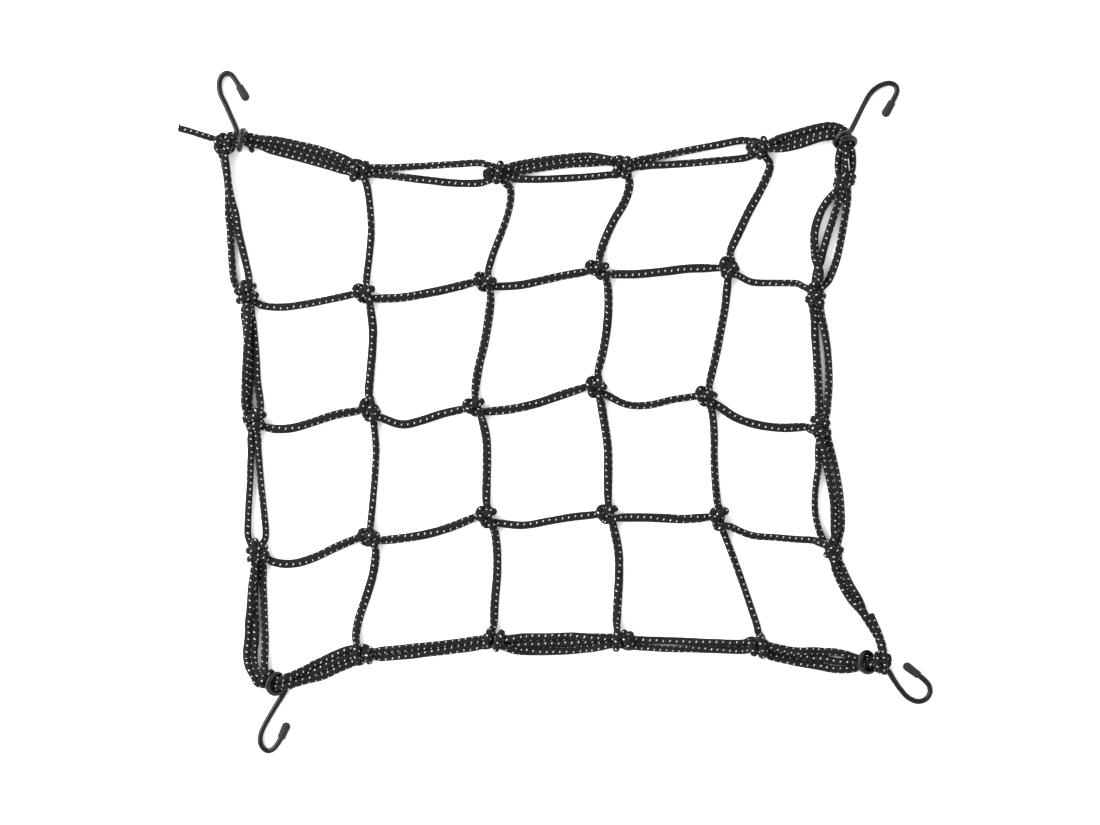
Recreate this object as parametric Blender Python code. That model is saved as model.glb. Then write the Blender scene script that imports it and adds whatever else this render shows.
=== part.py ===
# Cargo net: one elastic cord net with four plastic coated wire hooks, laid out flat.
# Lengths in the tables are millimetres; the model itself is in metres, +Z up, resting on z = 0.
import bpy
import bmesh
import math
import numpy as np
from mathutils import kdtree

# ---------------------------------------------------------------- driving dimensions (mm)
MM = 0.001
CORD_D = 4.7          # cord across in the open runs
NECK_D = 3.0          # cord squeezed inside a knot
WIRE_D = 3.6          # coated hook wire
CAP_MOUTH_D = 5.2     # rubber cap at its mouth
CAP_TIP_D = 5.6       # rubber cap near its round end
CAP_BORE_D = 4.3      # bore round the wire
CAP_LEN = 10.6        # mouth to tip
CAP_GRIP = 5.2        # wire inside the cap
EYE_R = 6.2           # wire eye, centre line radius
GAP = 0.45            # least daylight the cords are relaxed to
HEXF = 1.06           # circumradius of the six sided tube over the cord radius
STEP = 1.6            # spacing of the relaxed points
THIN = 0.80           # how far the straight pieces may leave the relaxed line
SHIFT = (-12.61, 0.645)   # moves the middle of the outline, without the free tail, onto the origin

# ---------------------------------------------------------------- knots: name, x, y
KNOTS = {
    "TL": (-209.3, 173.3), "T1": (-124.9, 154.1), "T2": (-39.5, 152.8), "T3": (44.3, 156.6),
    "T4": (130.3, 168.8), "TR": (186.8, 173.3), "TW": (185.3, 147.7),
    "L1": (-197.7, 75.1), "A1": (-123.3, 75.1), "A2": (-44.3, 82.8), "A3": (27.0, 90.5),
    "A4": (110.4, 93.1), "R1": (166.6, 77.4),
    "L2": (-192.6, -5.8), "B1": (-119.1, 0.6), "B2": (-52.3, 3.5), "B3": (25.7, 16.1),
    "B4": (96.3, 9.6), "R2": (169.5, -10.0),
    "L3": (-190.9, -88.6), "C1": (-119.1, -81.2), "C2": (-43.7, -67.1), "C3": (33.4, -65.2),
    "C4": (105.3, -68.7), "R3": (178.2, -88.6),
    "BL": (-186.8, -172.1), "D1": (-122.6, -156.0), "D2": (-39.8, -146.4), "D3": (42.4, -147.0),
    "D4": (130.0, -150.2), "BR": (211.2, -161.8),
}

# ---------------------------------------------------------------- runs between knots
# each row: from, to, sideways bow (left of travel) at 10, 30, 50, 70 and 90 % of the chord, layer
STATIONS = (0.1, 0.3, 0.5, 0.7, 0.9)
COLUMNS = {
    "column_cord_1": [("T1", "A1", (3.8, 5.6, 6.1, 4.0, 0.1)), ("A1", "B1", (4.0, 5.1, 3.8, 1.7, -0.2)),
                      ("B1", "C1", (2.7, 4.2, 3.5, 2.2, 0.7)), ("C1", "D1", (4.4, 3.5, -0.1, -4.4, -6.1))],
    "column_cord_2": [("T2", "A2", (10.0, 10.8, 7.5, 3.6, 0.7)), ("A2", "B2", (3.9, 3.9, 2.8, 0.7, 0.1)),
                      ("B2", "C2", (3.9, 5.6, 4.3, 2.3, 0.4)), ("C2", "D2", (3.9, 5.3, 4.4, 2.2, 0.8))],
    "column_cord_3": [("T3", "A3", (6.1, 6.2, 2.4, 0.0, -0.6)), ("A3", "B3", (6.5, 7.7, 6.9, 4.7, 1.4)),
                      ("B3", "C3", (2.3, 3.7, 4.4, 3.0, 1.4)), ("C3", "D3", (2.9, 4.5, 3.2, 0.5, -2.1))],
    "column_cord_4": [("T4", "A4", (9.6, 8.0, 4.5, 1.8, -0.5)), ("A4", "B4", (2.0, 3.1, 2.9, 2.5, 1.4)),
                      ("B4", "C4", (3.1, 3.1, 1.3, 0.3, -0.1)), ("C4", "D4", (0.0, 0.9, 1.4, 1.6, 2.3))],
}
ROWS = {
    "row_cord_1": [("L1", "A1", (-7.3, -8.4, -6.5, -3.6, -0.3)), ("A1", "A2", (-3.4, -4.7, -3.6, -1.8, -0.6)),
                   ("A2", "A3", (-4.0, -4.3, -2.8, -1.2, 0.2)), ("A3", "A4", (-2.8, -3.4, -2.4, -0.9, 0.3)),
                   ("A4", "R1", (-3.7, -5.8, -3.3, -0.7, 1.0))],
    "row_cord_2": [("L2", "B1", (-5.2, -6.9, -4.3, -1.1, -0.7)), ("B1", "B2", (-7.4, -10.2, -8.0, -4.3, -0.5)),
                   ("B2", "B3", (-4.2, -6.1, -5.2, -2.5, -0.3)), ("B3", "B4", (-6.6, -10.1, -9.1, -4.4, -0.1)),
                   ("B4", "R2", (-4.8, -8.3, -9.1, -6.9, -2.1))],
    "row_cord_3": [("L3", "C1", (-9.0, -11.7, -9.0, -3.8, 1.1)), ("C1", "C2", (-2.5, -4.5, -4.6, -2.8, -1.1)),
                   ("C2", "C3", (-6.9, -6.9, -4.7, -2.4, 0.0)), ("C3", "C4", (-2.5, -2.1, -1.8, -1.7, -1.6)),
                   ("C4", "R3", (-4.3, -5.3, -2.6, 0.3, 2.1))],
}
# border strands: layer 0 lies on the ground, layer 1 on the strands below it
BORDER = {
    "top_outer": [("TL", "T1", (4.5, 6.6, 7.1, 6.7, 4.5), 1), ("T1", "T2", (2.0, 2.9, 4.0, 5.3, 6.5), 1),
                  ("T2", "T3", (2.7, 5.5, 7.4, 7.7, 4.8), 1), ("T3", "T4", (2.9, 4.0, 4.9, 5.7, 6.5), 0),
                  ("T4", "TR", (2.2, 5.1, 7.9, 9.5, 9.3), 1), ("TR", "TW", (2.2, 4.9, 5.2, 3.9, 1.3), 0)],
    "top_inner": [("TL", "T1", (0.7, 1.8, 0.6, -0.7, -2.3), 0), ("T1", "T2", (-1.8, -3.5, -5.2, -6.8, -6.6), 0),
                  ("T2", "T3", (-4.1, -5.3, -5.5, -5.3, -4.4), 0), ("T3", "T4", (-0.8, -2.3, -3.5, -4.4, -5.1), 0),
                  ("T4", "TR", (-1.4, -1.5, 0.4, 3.2, 1.8), 1), ("TR", "TW", (-1.5, -3.9, -4.9, -3.3, -1.1), 0)],
    "right_outer": [("TW", "R1", (4.1, 6.8, 8.0, 8.6, 6.9), 0), ("R1", "R2", (2.4, 5.7, 7.3, 7.2, 5.3), 0),
                    ("R2", "R3", (4.8, 7.0, 8.4, 8.2, 5.2), 0), ("R3", "BR", (0.3, 0.5, 2.0, 3.6, 3.4), 0)],
    "right_inner": [("TW", "R1", (-4.1, -8.9, -9.7, -5.4, 1.4), 1), ("R1", "R2", (-0.9, -0.8, 0.0, 0.4, 0.0), 0),
                    ("R2", "R3", (-0.6, 1.8, 3.4, 3.7, 1.9), 1), ("R3", "BR", (-2.9, -3.9, -1.5, 1.7, 1.2), 1)],
    "left_outer": [("TL", "L1", (-2.8, -4.1, -5.2, -6.8, -7.5), 0), ("L1", "L2", (0.1, -0.9, -2.5, -4.2, -5.5), 1),
                   ("L2", "L3", (-2.1, -3.3, -4.2, -5.5, -6.2), 0), ("L3", "BL", (-2.0, -4.6, -6.6, -8.7, -9.1), 1)],
    "left_inner": [("TL", "L1", (-3.3, -3.2, -1.9, 0.4, 2.5), 1), ("L1", "L2", (0.4, 0.8, 2.2, 3.1, 4.1), 0),
                   ("L2", "L3", (0.9, 2.0, 3.0, 4.4, 5.5), 0), ("L3", "BL", (2.5, 2.3, 2.1, 1.9, 1.8), 0)],
    "bottom_outer": [("BL", "D1", (-3.9, -6.9, -6.0, -5.3, -3.3), 0), ("D1", "D2", (-2.5, -4.1, -4.1, -4.0, -3.2), 0),
                     ("D2", "D3", (-5.1, -7.2, -7.0, -5.3, -3.1), 1), ("D3", "D4", (-3.7, -4.6, -4.3, -4.1, -3.9), 0),
                     ("D4", "BR", (-5.3, -7.5, -8.0, -7.8, -2.7), 0)],
    "bottom_inner": [("BL", "D1", (-0.3, 0.0, 1.6, 3.9, 5.6), 0), ("D1", "D2", (0.4, 0.8, 0.6, 0.4, 0.7), 0),
                     ("D2", "D3", (0.4, 0.6, 0.9, 1.6, 1.9), 1), ("D3", "D4", (0.6, 0.7, 0.6, 0.4, 0.8), 0),
                     ("D4", "BR", (0.7, -0.3, 1.2, 2.6, 0.3), 1)],
    "top_third_1": [("TL", "T1", (2.0, 3.8, 4.0, 3.4, 2.1), 0)],
    "top_third_2": [("T2", "T3", (0.6, 1.9, 3.2, 4.2, 3.7), 0)],
    "top_third_3": [("T4", "TR", (0.1, 1.4, 3.5, 6.0, 4.6), 0), ("TR", "TW", (0.1, 0.2, -0.2, -0.3, -0.1), 1)],
    "right_third_1": [("TW", "R1", (-0.9, -0.1, -0.9, -1.2, -1.7), 0)],
    "right_third_2": [("R2", "R3", (-0.8, -2.8, -6.7, -8.6, -6.4), 0)],
    "left_third_1": [("L1", "L2", (-0.3, -0.5, -1.1, -2.1, -3.3), 0)],
    "left_third_2": [("L3", "BL", (-1.0, -3.3, -4.3, -4.9, -3.7), 0)],
    "bottom_third_1": [("BL", "D1", (-1.5, -3.5, -2.5, -0.7, 0.4), 0)],
    "bottom_third_2": [("D2", "D3", (-2.6, -3.0, -2.6, -1.7, -0.5), 0)],
    "bottom_third_3": [("D4", "BR", (-2.1, -2.2, -2.4, -3.4, -1.5), 0)],
}

# ---------------------------------------------------------------- knots in the mesh
# the row cord's way round the upright cord: along the row, up the column, height
KNOT_A = [(-9.0, -0.8, 2.3), (-7.0, 2.2, 4.2), (-4.0, 3.6, 3.4), (0.0, 3.0, 1.6), (3.6, 1.6, 4.6),
          (0.0, 0.0, 8.6), (-3.7, -2.2, 4.6), (0.0, -3.4, 1.6), (4.0, -3.2, 2.0), (9.0, -2.6, 2.3)]
KNOT_B = [(-9.0, -1.0, 2.3), (-6.0, 1.5, 4.0), (-3.8, 3.4, 6.5), (0.0, 4.2, 8.8), (3.8, 2.4, 5.0),
          (0.0, 0.6, 1.6), (-3.8, -1.6, 4.6), (0.0, -3.0, 8.8), (3.8, -3.6, 5.0), (8.0, -3.2, 2.6)]
SECOND_KIND = ("A4", "B1", "B3", "C2", "C4")
# hitch on the border: along the border, inward, height; s says which side the cord comes from
HITCH = [(3.6, 9.5, 2.3), (3.2, 6.0, 1.9), (2.9, 0.0, 1.6), (2.6, -5.2, 5.3), (0.2, 0.0, 9.9),
         (-2.4, 5.2, 5.3), (-2.9, 0.0, 1.6), (-3.1, -3.6, 2.0)]
HITCH_OVER = [(3.6, 9.5, 2.8), (3.2, 6.4, 6.0), (2.9, 0.0, 9.9), (2.6, -5.2, 5.3), (0.0, 0.0, 1.6),
              (-2.4, 5.2, 5.3), (-2.9, 0.0, 9.9), (-3.1, -3.9, 7.6)]
OVER_AT = ("D2", "D4")
BUNDLE_Z = 5.3        # border strands inside a hitch
THIRD_Z = 8.6         # third strand where it ends on the other two
EDGE = {"T": ((1, 0), (0, -1)), "D": ((1, 0), (0, 1)), "L": ((0, 1), (1, 0)), "R": ((0, 1), (-1, 0))}

# ---------------------------------------------------------------- corner windings
# name, middle x, y, height, axis angle, radius, turns, rise per turn, start angle
WRAPS = {
    "wrap_top_left": (-209.9, 169.0, 7.2, 48.0, 5.6, 1.9, 3.7, -100.0),
    "wrap_top_right": (185.3, 147.7, 7.2, -90.0, 5.6, 1.3, 3.7, -130.0),
    "wrap_bottom_left": (-189.3, -170.4, 7.2, -38.0, 5.6, 1.6, 3.7, -100.0),
    "wrap_bottom_right": (212.4, -160.0, 10.8, 55.0, 5.6, 1.7, 3.7, -100.0),
}

# ---------------------------------------------------------------- hooks: tip to shank, x, y, z
HOOKS = {
    "top_left": [(-199.0, 201.9, 2.8), (-200.9, 205.4, 2.8), (-202.9, 208.7, 2.8), (-205.1, 212.2, 2.5),
                 (-207.7, 215.7, 2.2), (-210.6, 217.0, 1.9), (-213.5, 215.7, 1.8), (-215.3, 212.5, 1.8),
                 (-215.7, 208.0, 1.8), (-214.6, 202.9, 1.8), (-212.2, 198.1, 1.8), (-208.3, 189.4, 1.8),
                 (-204.9, 181.4, 1.8)],
    "top_right": [(212.2, 191.0, 2.8), (214.1, 194.8, 2.8), (216.4, 198.4, 2.8), (218.3, 201.9, 2.5),
                  (219.6, 205.8, 2.2), (218.6, 209.0, 1.9), (215.1, 210.6, 1.8), (210.9, 209.9, 1.8),
                  (206.1, 207.4, 1.9), (201.9, 203.2, 2.3), (198.4, 197.1, 3.6), (194.2, 188.9, 6.4),
                  (190.6, 181.9, 8.6)],
    "bottom_left": [(-172.7, -202.6, 2.8), (-174.3, -206.7, 2.8), (-175.9, -209.9, 2.8), (-178.5, -214.1, 2.5),
                    (-181.4, -217.3, 2.2), (-184.6, -218.3, 1.9), (-188.1, -215.7, 1.8), (-189.4, -211.2, 1.8),
                    (-188.7, -206.7, 1.8), (-186.2, -201.9, 1.8), (-181.7, -194.8, 1.8), (-177.2, -187.5, 1.8),
                    (-174.2, -181.6, 1.8)],
    "bottom_right": [(226.3, -164.4, 2.8), (229.8, -167.2, 2.8), (233.7, -169.8, 2.8), (237.5, -173.0, 2.5),
                     (240.3, -176.6, 2.2), (240.8, -180.7, 1.9), (238.8, -184.4, 1.8), (235.0, -186.4, 1.8),
                     (231.1, -186.2, 1.8), (226.6, -183.9, 1.8), (222.1, -180.1, 1.8), (217.0, -174.0, 1.8),
                     (212.5, -166.9, 1.8)],
}
# eyes: middle x, y, direction of the high side, tilt, first angle, last angle, advance per turn
EYES = {
    "top_left": (-202.6, 173.6, 180.0, 90.0, -75.0, -520.0, 5.4),
    "top_right": (186.6, 173.3, 99.0, 35.0, 50.0, 470.0, 4.1),
    "bottom_left": (-179.8, -174.6, 166.0, 54.0, 285.0, 640.0, 4.0),
    "bottom_right": (200.8, -160.9, 176.0, 54.0, 285.0, 600.0, 4.0),
}
EYE_OF = {"TL": "top_left", "TR": "top_right", "BL": "bottom_left", "BR": "bottom_right"}
# where three strands sit inside an eye: across, up the slope of the ring
IN_EYE = {"outer": (1.85, -1.05), "inner": (-1.85, -1.05), "third": (0.0, 2.1)}

TAIL = [(-242.3, 181.8, 2.35), (-235.5, 180.0, 2.35), (-228.5, 177.7, 2.35), (-222.5, 175.8, 2.3),
        (-217.3, 174.2, 1.9), (-212.4, 172.7, 1.6)]
CUT_END = [(203.6, -130.4, 6.9), (204.8, -133.5, 7.0), (206.7, -138.0, 7.4), (208.8, -144.3, 9.0),
           (210.2, -150.2, 12.6)]


# ================================================================ helpers
def arr(v):
    return np.array(v, dtype=float)


def spline(ctrl, step):
    """Centripetal Catmull-Rom through the points, resampled at an even step."""
    P = arr(ctrl)
    P = np.vstack([2 * P[0] - P[1], P, 2 * P[-1] - P[-2]])
    out = []
    for i in range(1, len(P) - 2):
        p0, p1, p2, p3 = P[i - 1], P[i], P[i + 1], P[i + 2]
        t0 = 0.0
        t1 = t0 + max(1e-6, np.linalg.norm(p1 - p0)) ** 0.5
        t2 = t1 + max(1e-6, np.linalg.norm(p2 - p1)) ** 0.5
        t3 = t2 + max(1e-6, np.linalg.norm(p3 - p2)) ** 0.5
        n = max(4, int(np.linalg.norm(p2 - p1) / 0.4))
        t = np.linspace(t1, t2, n, endpoint=False)[:, None]
        a1 = (t1 - t) / (t1 - t0) * p0 + (t - t0) / (t1 - t0) * p1
        a2 = (t2 - t) / (t2 - t1) * p1 + (t - t1) / (t2 - t1) * p2
        a3 = (t3 - t) / (t3 - t2) * p2 + (t - t2) / (t3 - t2) * p3
        b1 = (t2 - t) / (t2 - t0) * a1 + (t - t0) / (t2 - t0) * a2
        b2 = (t3 - t) / (t3 - t1) * a2 + (t - t1) / (t3 - t1) * a3
        out.append((t2 - t) / (t2 - t1) * b1 + (t - t1) / (t2 - t1) * b2)
    out.append(P[-2][None, :])
    Q = np.vstack(out)
    s = np.concatenate([[0.0], np.cumsum(np.linalg.norm(np.diff(Q, axis=0), axis=1))])
    m = max(3, int(round(s[-1] / step)) + 1)
    u = np.linspace(0, s[-1], m)
    return np.stack([np.interp(u, s, Q[:, k]) for k in range(3)], axis=1)


def smooth01(x):
    x = np.clip(x, 0.0, 1.0)
    return x * x * (3 - 2 * x)


def station_points(a, b, bows, z, keep=STATIONS):
    A, B = arr(KNOTS[a]), arr(KNOTS[b])
    d = B - A
    n = arr((-d[1], d[0])) / np.linalg.norm(d)
    pts = []
    for f, o in zip(STATIONS, bows):
        if f in keep:
            p = A + d * f + n * o
            pts.append((p[0], p[1], z))
    return pts


def hitch(knot, entry):
    """Key points of the mesh cord tied on the border, from the mesh inward side to its end."""
    u, v = (arr(k) for k in EDGE[knot[0]])
    K = arr(KNOTS[knot])
    s = 1.0 if entry > 1.5 else -1.0
    table = HITCH_OVER if knot in OVER_AT else HITCH
    pts = []
    for i, (a, b, z) in enumerate(table):
        a *= s
        if i == 0:
            a = entry
        if i == 1:
            a = 0.5 * (a + max(-6.0, min(6.0, entry)))
        p = K + u * a + v * b
        pts.append((p[0], p[1], z))
    return pts


def eye_frame(name):
    x, y, hd, tilt, t0, t1, adv = EYES[name]
    h = arr((math.cos(math.radians(hd)), math.sin(math.radians(hd))))
    c, s = math.cos(math.radians(tilt)), math.sin(math.radians(tilt))
    a = arr((h[1], -h[0], 0.0))
    b = arr((h[0] * c, h[1] * c, s))
    n = np.cross(a, b)
    C = arr((x, y, EYE_R * s + WIRE_D / 2 + 0.02))
    return C, a, b, n


def hook_line(name):
    """Centre line of the wire from inside the cap to the cut end of the eye."""
    T = arr(HOOKS[name])
    d = (T[0] - T[2]) / np.linalg.norm(T[0] - T[2])
    pts = [T[2] + d * CAP_GRIP, T[2] + d * CAP_GRIP * 0.5, T[2]] + list(T[3:])
    C, a, b, n = eye_frame(name)
    t0, t1, adv = EYES[name][4:7]
    steps = int(abs(t1 - t0) / 30.0)
    for k in range(steps + 1):
        th = t0 + (t1 - t0) * k / steps
        r = math.radians(th)
        pts.append(C + EYE_R * (math.cos(r) * a + math.sin(r) * b) + n * adv * (abs(th - t0) / 360.0 - 0.15))
    return spline(pts, 1.0), T[2], d


def coil(name):
    x, y, z, ax, R, turns, rise, th0 = WRAPS[name]
    d = arr((math.cos(math.radians(ax)), math.sin(math.radians(ax)), 0.0))
    a = arr((-d[1], d[0], 0.0))
    C = arr((x, y, z))
    pts = []
    n = int(turns * 12)
    for k in range(n + 1):
        f = k / n
        th = math.radians(th0 + 360.0 * turns * f)
        pts.append(C + R * (math.cos(th) * a + arr((0, 0, math.sin(th)))) + d * rise * turns * (f - 0.5))
    return pts


# ================================================================ routes of every cord
def corner_end(knot, role, outward):
    """Last point of a border strand inside a corner winding; outward is +1 or -1 along its axis."""
    w = {"TL": "wrap_top_left", "BL": "wrap_bottom_left", "BR": "wrap_bottom_right", "TW": "wrap_top_right"}[knot]
    x, y, z, ax = WRAPS[w][:4]
    d = arr((math.cos(math.radians(ax)), math.sin(math.radians(ax))))
    a = arr((-d[1], d[0]))
    side = {"outer": 1.85, "inner": -1.85, "third": 0.0}[role]
    if knot in ("BL", "BR"):
        side = -side
    p = arr((x, y)) + a * side
    zz = z + (1.95 if role == "third" else -1.35)
    out = []
    for g in (0.25, 2.0, 3.8):
        q = p + d * outward * g
        out.append((q[0], q[1], zz))
    return out


def in_eye(knot, role):
    C, a, b, n = eye_frame(EYE_OF[knot])
    p, q = IN_EYE[role]
    if knot in ("BL", "BR"):
        p = -p
    adv = EYES[EYE_OF[knot]][6]
    P = C + a * p + b * q + n * adv * 0.35
    return tuple(P)


def routes():
    R, held = {}, set()
    for name, runs in COLUMNS.items():
        pts = list(reversed(hitch(runs[0][0], runs[0][2][0])))
        for i, (a, b, o) in enumerate(runs):
            keep = [0.3, 0.5, 0.7]
            if i > 0:
                keep.insert(0, 0.1)
            if i < len(runs) - 1:
                keep.append(0.9)
            pts += station_points(a, b, o, CORD_D / 2, keep)
            if i < len(runs) - 1:
                pts.append(KNOTS[b] + (5.15,))
        pts += hitch(runs[-1][1], runs[-1][2][4])
        R[name] = pts
    for name, runs in ROWS.items():
        pts = list(reversed(hitch(runs[0][0], runs[0][2][0])))
        for i, (a, b, o) in enumerate(runs):
            pts += station_points(a, b, o, CORD_D / 2, (0.3, 0.5, 0.7))
            if i < len(runs) - 1:
                table = KNOT_B if b in SECOND_KIND else KNOT_A
                x, y = KNOTS[b]
                pts += [(x + p, y + q, z) for p, q, z in table]
        pts += hitch(runs[-1][1], runs[-1][2][4])
        R[name] = pts
    for name, runs in BORDER.items():
        role = "outer" if "outer" in name else "inner" if "inner" in name else "third"
        pts = []
        first, last = runs[0][0], runs[-1][1]
        edge_letter = {"t": "T", "r": "R", "l": "L", "b": "D"}[name[0]]
        u, v = (arr(k) for k in EDGE[edge_letter])

        def at_knot(k, toward):
            K = arr(KNOTS[k])
            if role == "third":
                p = K + u * toward * 3.4
                return (p[0], p[1], THIRD_Z)
            p = K + v * (-1.85 if role == "outer" else 1.85)
            return (p[0], p[1], BUNDLE_Z)

        # start
        if first in ("TL", "BL"):
            outward = 1.0 if name[0] in "tb" else -1.0
            pts += corner_end(first, role, outward)
            held.add((name, 0))
            if name[0] in "tb":
                pts.append(in_eye(first, role))
        elif first == "TW":
            pts += corner_end("TW", role, 1.0)
            held.add((name, 0))
        else:
            pts.append(at_knot(first, 1.0 if name[0] in "tb" else -1.0))
        for i, (a, b, o, layer) in enumerate(runs):
            z = CORD_D / 2 + 4.4 * layer
            keep = list(STATIONS)
            if a in ("TL", "BL", "TR", "TW"):
                keep.remove(0.1)
            if b in ("BR", "BL"):
                keep.remove(0.9)
            if b == "TW":
                keep.remove(0.9)
            seg = station_points(a, b, o, z, keep)
            if a == "TR":
                seg = [(p[0], p[1], 5.6 + (3.2 if role == "third" else 0.0)) for p in seg]
            if b == "TR":
                seg[-1] = (seg[-1][0], seg[-1][1], 1.8 + (3.0 if role == "third" else 0.0))
            pts += seg
            if i < len(runs) - 1:
                if b == "TR":
                    pts.append(in_eye("TR", role))
                else:
                    pts.append(at_knot(b, 0.0))
        # end
        if last in ("TW", "BL", "BR"):
            held.add((name, 1))
        if last == "TW":
            pts += corner_end("TW", role, -1.0)[::-1]
        elif last == "BL":
            pts += corner_end("BL", role, -1.0)[::-1]
        elif last == "BR":
            if name[0] == "b":
                pts.append(in_eye("BR", role))
                pts += corner_end("BR", role, -1.0)[::-1]
            else:
                pts += corner_end("BR", role, 1.0)[::-1]
        else:
            pts.append(at_knot(last, -1.0 if name[0] in "tb" else 1.0))
        R[name] = pts
    for name in WRAPS:
        R[name] = coil(name)
    R["free_tail"] = TAIL
    R["cut_end"] = CUT_END
    return R, held


# middles round which cords are squeezed, with the reach of the squeeze
NECKS = [(KNOTS[k][0], KNOTS[k][1], 5.5, 12.0) for k in KNOTS if k not in ("TL", "BL", "BR", "TR", "TW")]
NECKS += [(w[0], w[1], 6.5, 13.0) for w in WRAPS.values()]
NECKS += [(e[0], e[1], 6.5, 14.0) for e in EYES.values()]


def squeeze(P):
    """0 in the open run, 1 in the middle of a knot."""
    k = np.zeros(len(P))
    for x, y, a, b in NECKS:
        d = np.hypot(P[:, 0] - x, P[:, 1] - y)
        k = np.maximum(k, 1 - smooth01((d - a) / (b - a)))
    return k


# ================================================================ relaxing the cords off each other
def relax(lines, wires, held):
    names = list(lines)
    P = np.vstack([lines[n] for n in names])
    cid = np.concatenate([np.full(len(lines[n]), i) for i, n in enumerate(names)])
    n_free = len(P)
    W = np.vstack([w for w in wires])
    P = np.vstack([P, W])
    cid = np.concatenate([cid, np.full(len(W), -1)])
    idx = np.arange(len(P))
    k = squeeze(P[:n_free])
    r = np.concatenate([CORD_D / 2 + (NECK_D - CORD_D) / 2 * k, np.full(len(W), WIRE_D / 2 / HEXF)])
    # keep the path in plan where the cord runs free, let it find its place inside knots
    wa = 0.30 - 0.26 * k
    A = P[:n_free, :2].copy()
    same = cid[:n_free]
    pin = np.zeros(len(P), bool)
    o = 0
    for n in names:
        m = len(lines[n])
        if (n, 0) in held:
            pin[o:o + 3] = True
        if (n, 1) in held:
            pin[o + m - 3:o + m] = True
        o += m
    fixed = P[pin].copy()
    coils = np.isin(same, [i for i, n in enumerate(names) if n in WRAPS])
    inner = np.zeros(n_free, bool)
    inner[1:-1] = (same[1:-1] == same[:-2]) & (same[1:-1] == same[2:])
    ii = np.where(inner)[0]
    floor = r[:n_free] * 0.90
    low = W[W[:, 2] < 3.2]
    for i in range(n_free):
        d2 = np.hypot(low[:, 0] - P[i, 0], low[:, 1] - P[i, 1])
        j = d2.argmin()
        if d2[j] < 6.0:
            P[i, 2] = max(P[i, 2], low[j, 2] + 3.7 - 0.35 * d2[j])
    total = 420
    pairs = None
    for it in range(total):
        if it % 8 == 0:
            kd = kdtree.KDTree(len(P))
            for i in range(len(P)):
                kd.insert(P[i], i)
            kd.balance()
            ia, ib = [], []
            for i in range(n_free):
                for co, j, dist in kd.find_range(P[i], 7.2):
                    if j <= i and j < n_free:
                        continue
                    if (cid[j] == cid[i] and j - i < 7) or (pin[i] and pin[j]):
                        continue
                    ia.append(i)
                    ib.append(j)
            ia, ib = np.array(ia), np.array(ib)
            need = (r[ia] + r[ib]) * HEXF + GAP
            wire = cid[ib] < 0
        settle = it > total - 60
        if not settle:
            S = 0.5 * (P[ii - 1] + P[ii + 1]) - P[ii]
            P[ii] += 0.22 * S
            P[:n_free, :2] += wa[:, None] * (A - P[:n_free, :2])
            P[:n_free, 2] -= (0.03 + 0.03 * (1 - k)) * ~coils
        for sub in range(2 if not settle else 3):
            D = P[ia] - P[ib]
            dist = np.linalg.norm(D, axis=1)
            hit = dist < need
            if hit.any():
                h = np.where(hit)[0]
                push = (need[h] - dist[h])[:, None] * D[h] / np.maximum(dist[h], 1e-6)[:, None]
                share = np.where(wire[h], 1.0, 0.5)[:, None]
                M = np.zeros_like(P)
                cnt = np.zeros(len(P))
                np.add.at(M, ia[h], push * share)
                np.add.at(cnt, ia[h], 1)
                hh = h[~wire[h]]
                np.add.at(M, ib[hh], -push[~wire[h]] * 0.5)
                np.add.at(cnt, ib[hh], 1)
                P += M / np.maximum(cnt, 1.0)[:, None] * (0.9 if settle else 0.8)
            P[:n_free, 2] = np.maximum(P[:n_free, 2], floor)
            P[pin] = fixed
    out, rad, o = {}, {}, 0
    for n in names:
        m = len(lines[n])
        out[n] = P[o:o + m].copy()
        rad[n] = r[o:o + m].copy()
        o += m
    return out, rad


def thin(Q, tol):
    """Fewest points whose straight pieces stay within tol of the line (x, y, z and radius)."""
    keep = {0, len(Q) - 1}
    stack = [(0, len(Q) - 1)]
    while stack:
        a, b = stack.pop()
        if b - a < 2:
            continue
        p, q = Q[a], Q[b]
        d = q - p
        L = float(d @ d)
        X = Q[a + 1:b] - p
        t = np.clip(X @ d / max(L, 1e-9), 0, 1)
        e = np.linalg.norm(X - t[:, None] * d, axis=1)
        m = int(e.argmax())
        if e[m] > tol:
            m += a + 1
            keep.add(m)
            stack += [(a, m), (m, b)]
    return sorted(keep)


def seg_closest(p1, q1, p2, q2):
    """Closest points of many pairs of segments: parameters s, t."""
    d1, d2, w = q1 - p1, q2 - p2, p1 - p2
    a = np.einsum('ij,ij->i', d1, d1)
    e = np.einsum('ij,ij->i', d2, d2)
    f = np.einsum('ij,ij->i', d2, w)
    c = np.einsum('ij,ij->i', d1, w)
    b = np.einsum('ij,ij->i', d1, d2)
    den = np.maximum(a * e - b * b, 1e-9)
    s = np.clip((b * f - c * e) / den, 0, 1)
    t = (b * s + f) / np.maximum(e, 1e-9)
    tc = np.clip(t, 0, 1)
    s = np.clip((b * tc - c) / np.maximum(a, 1e-9), 0, 1)
    return s, tc


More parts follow.
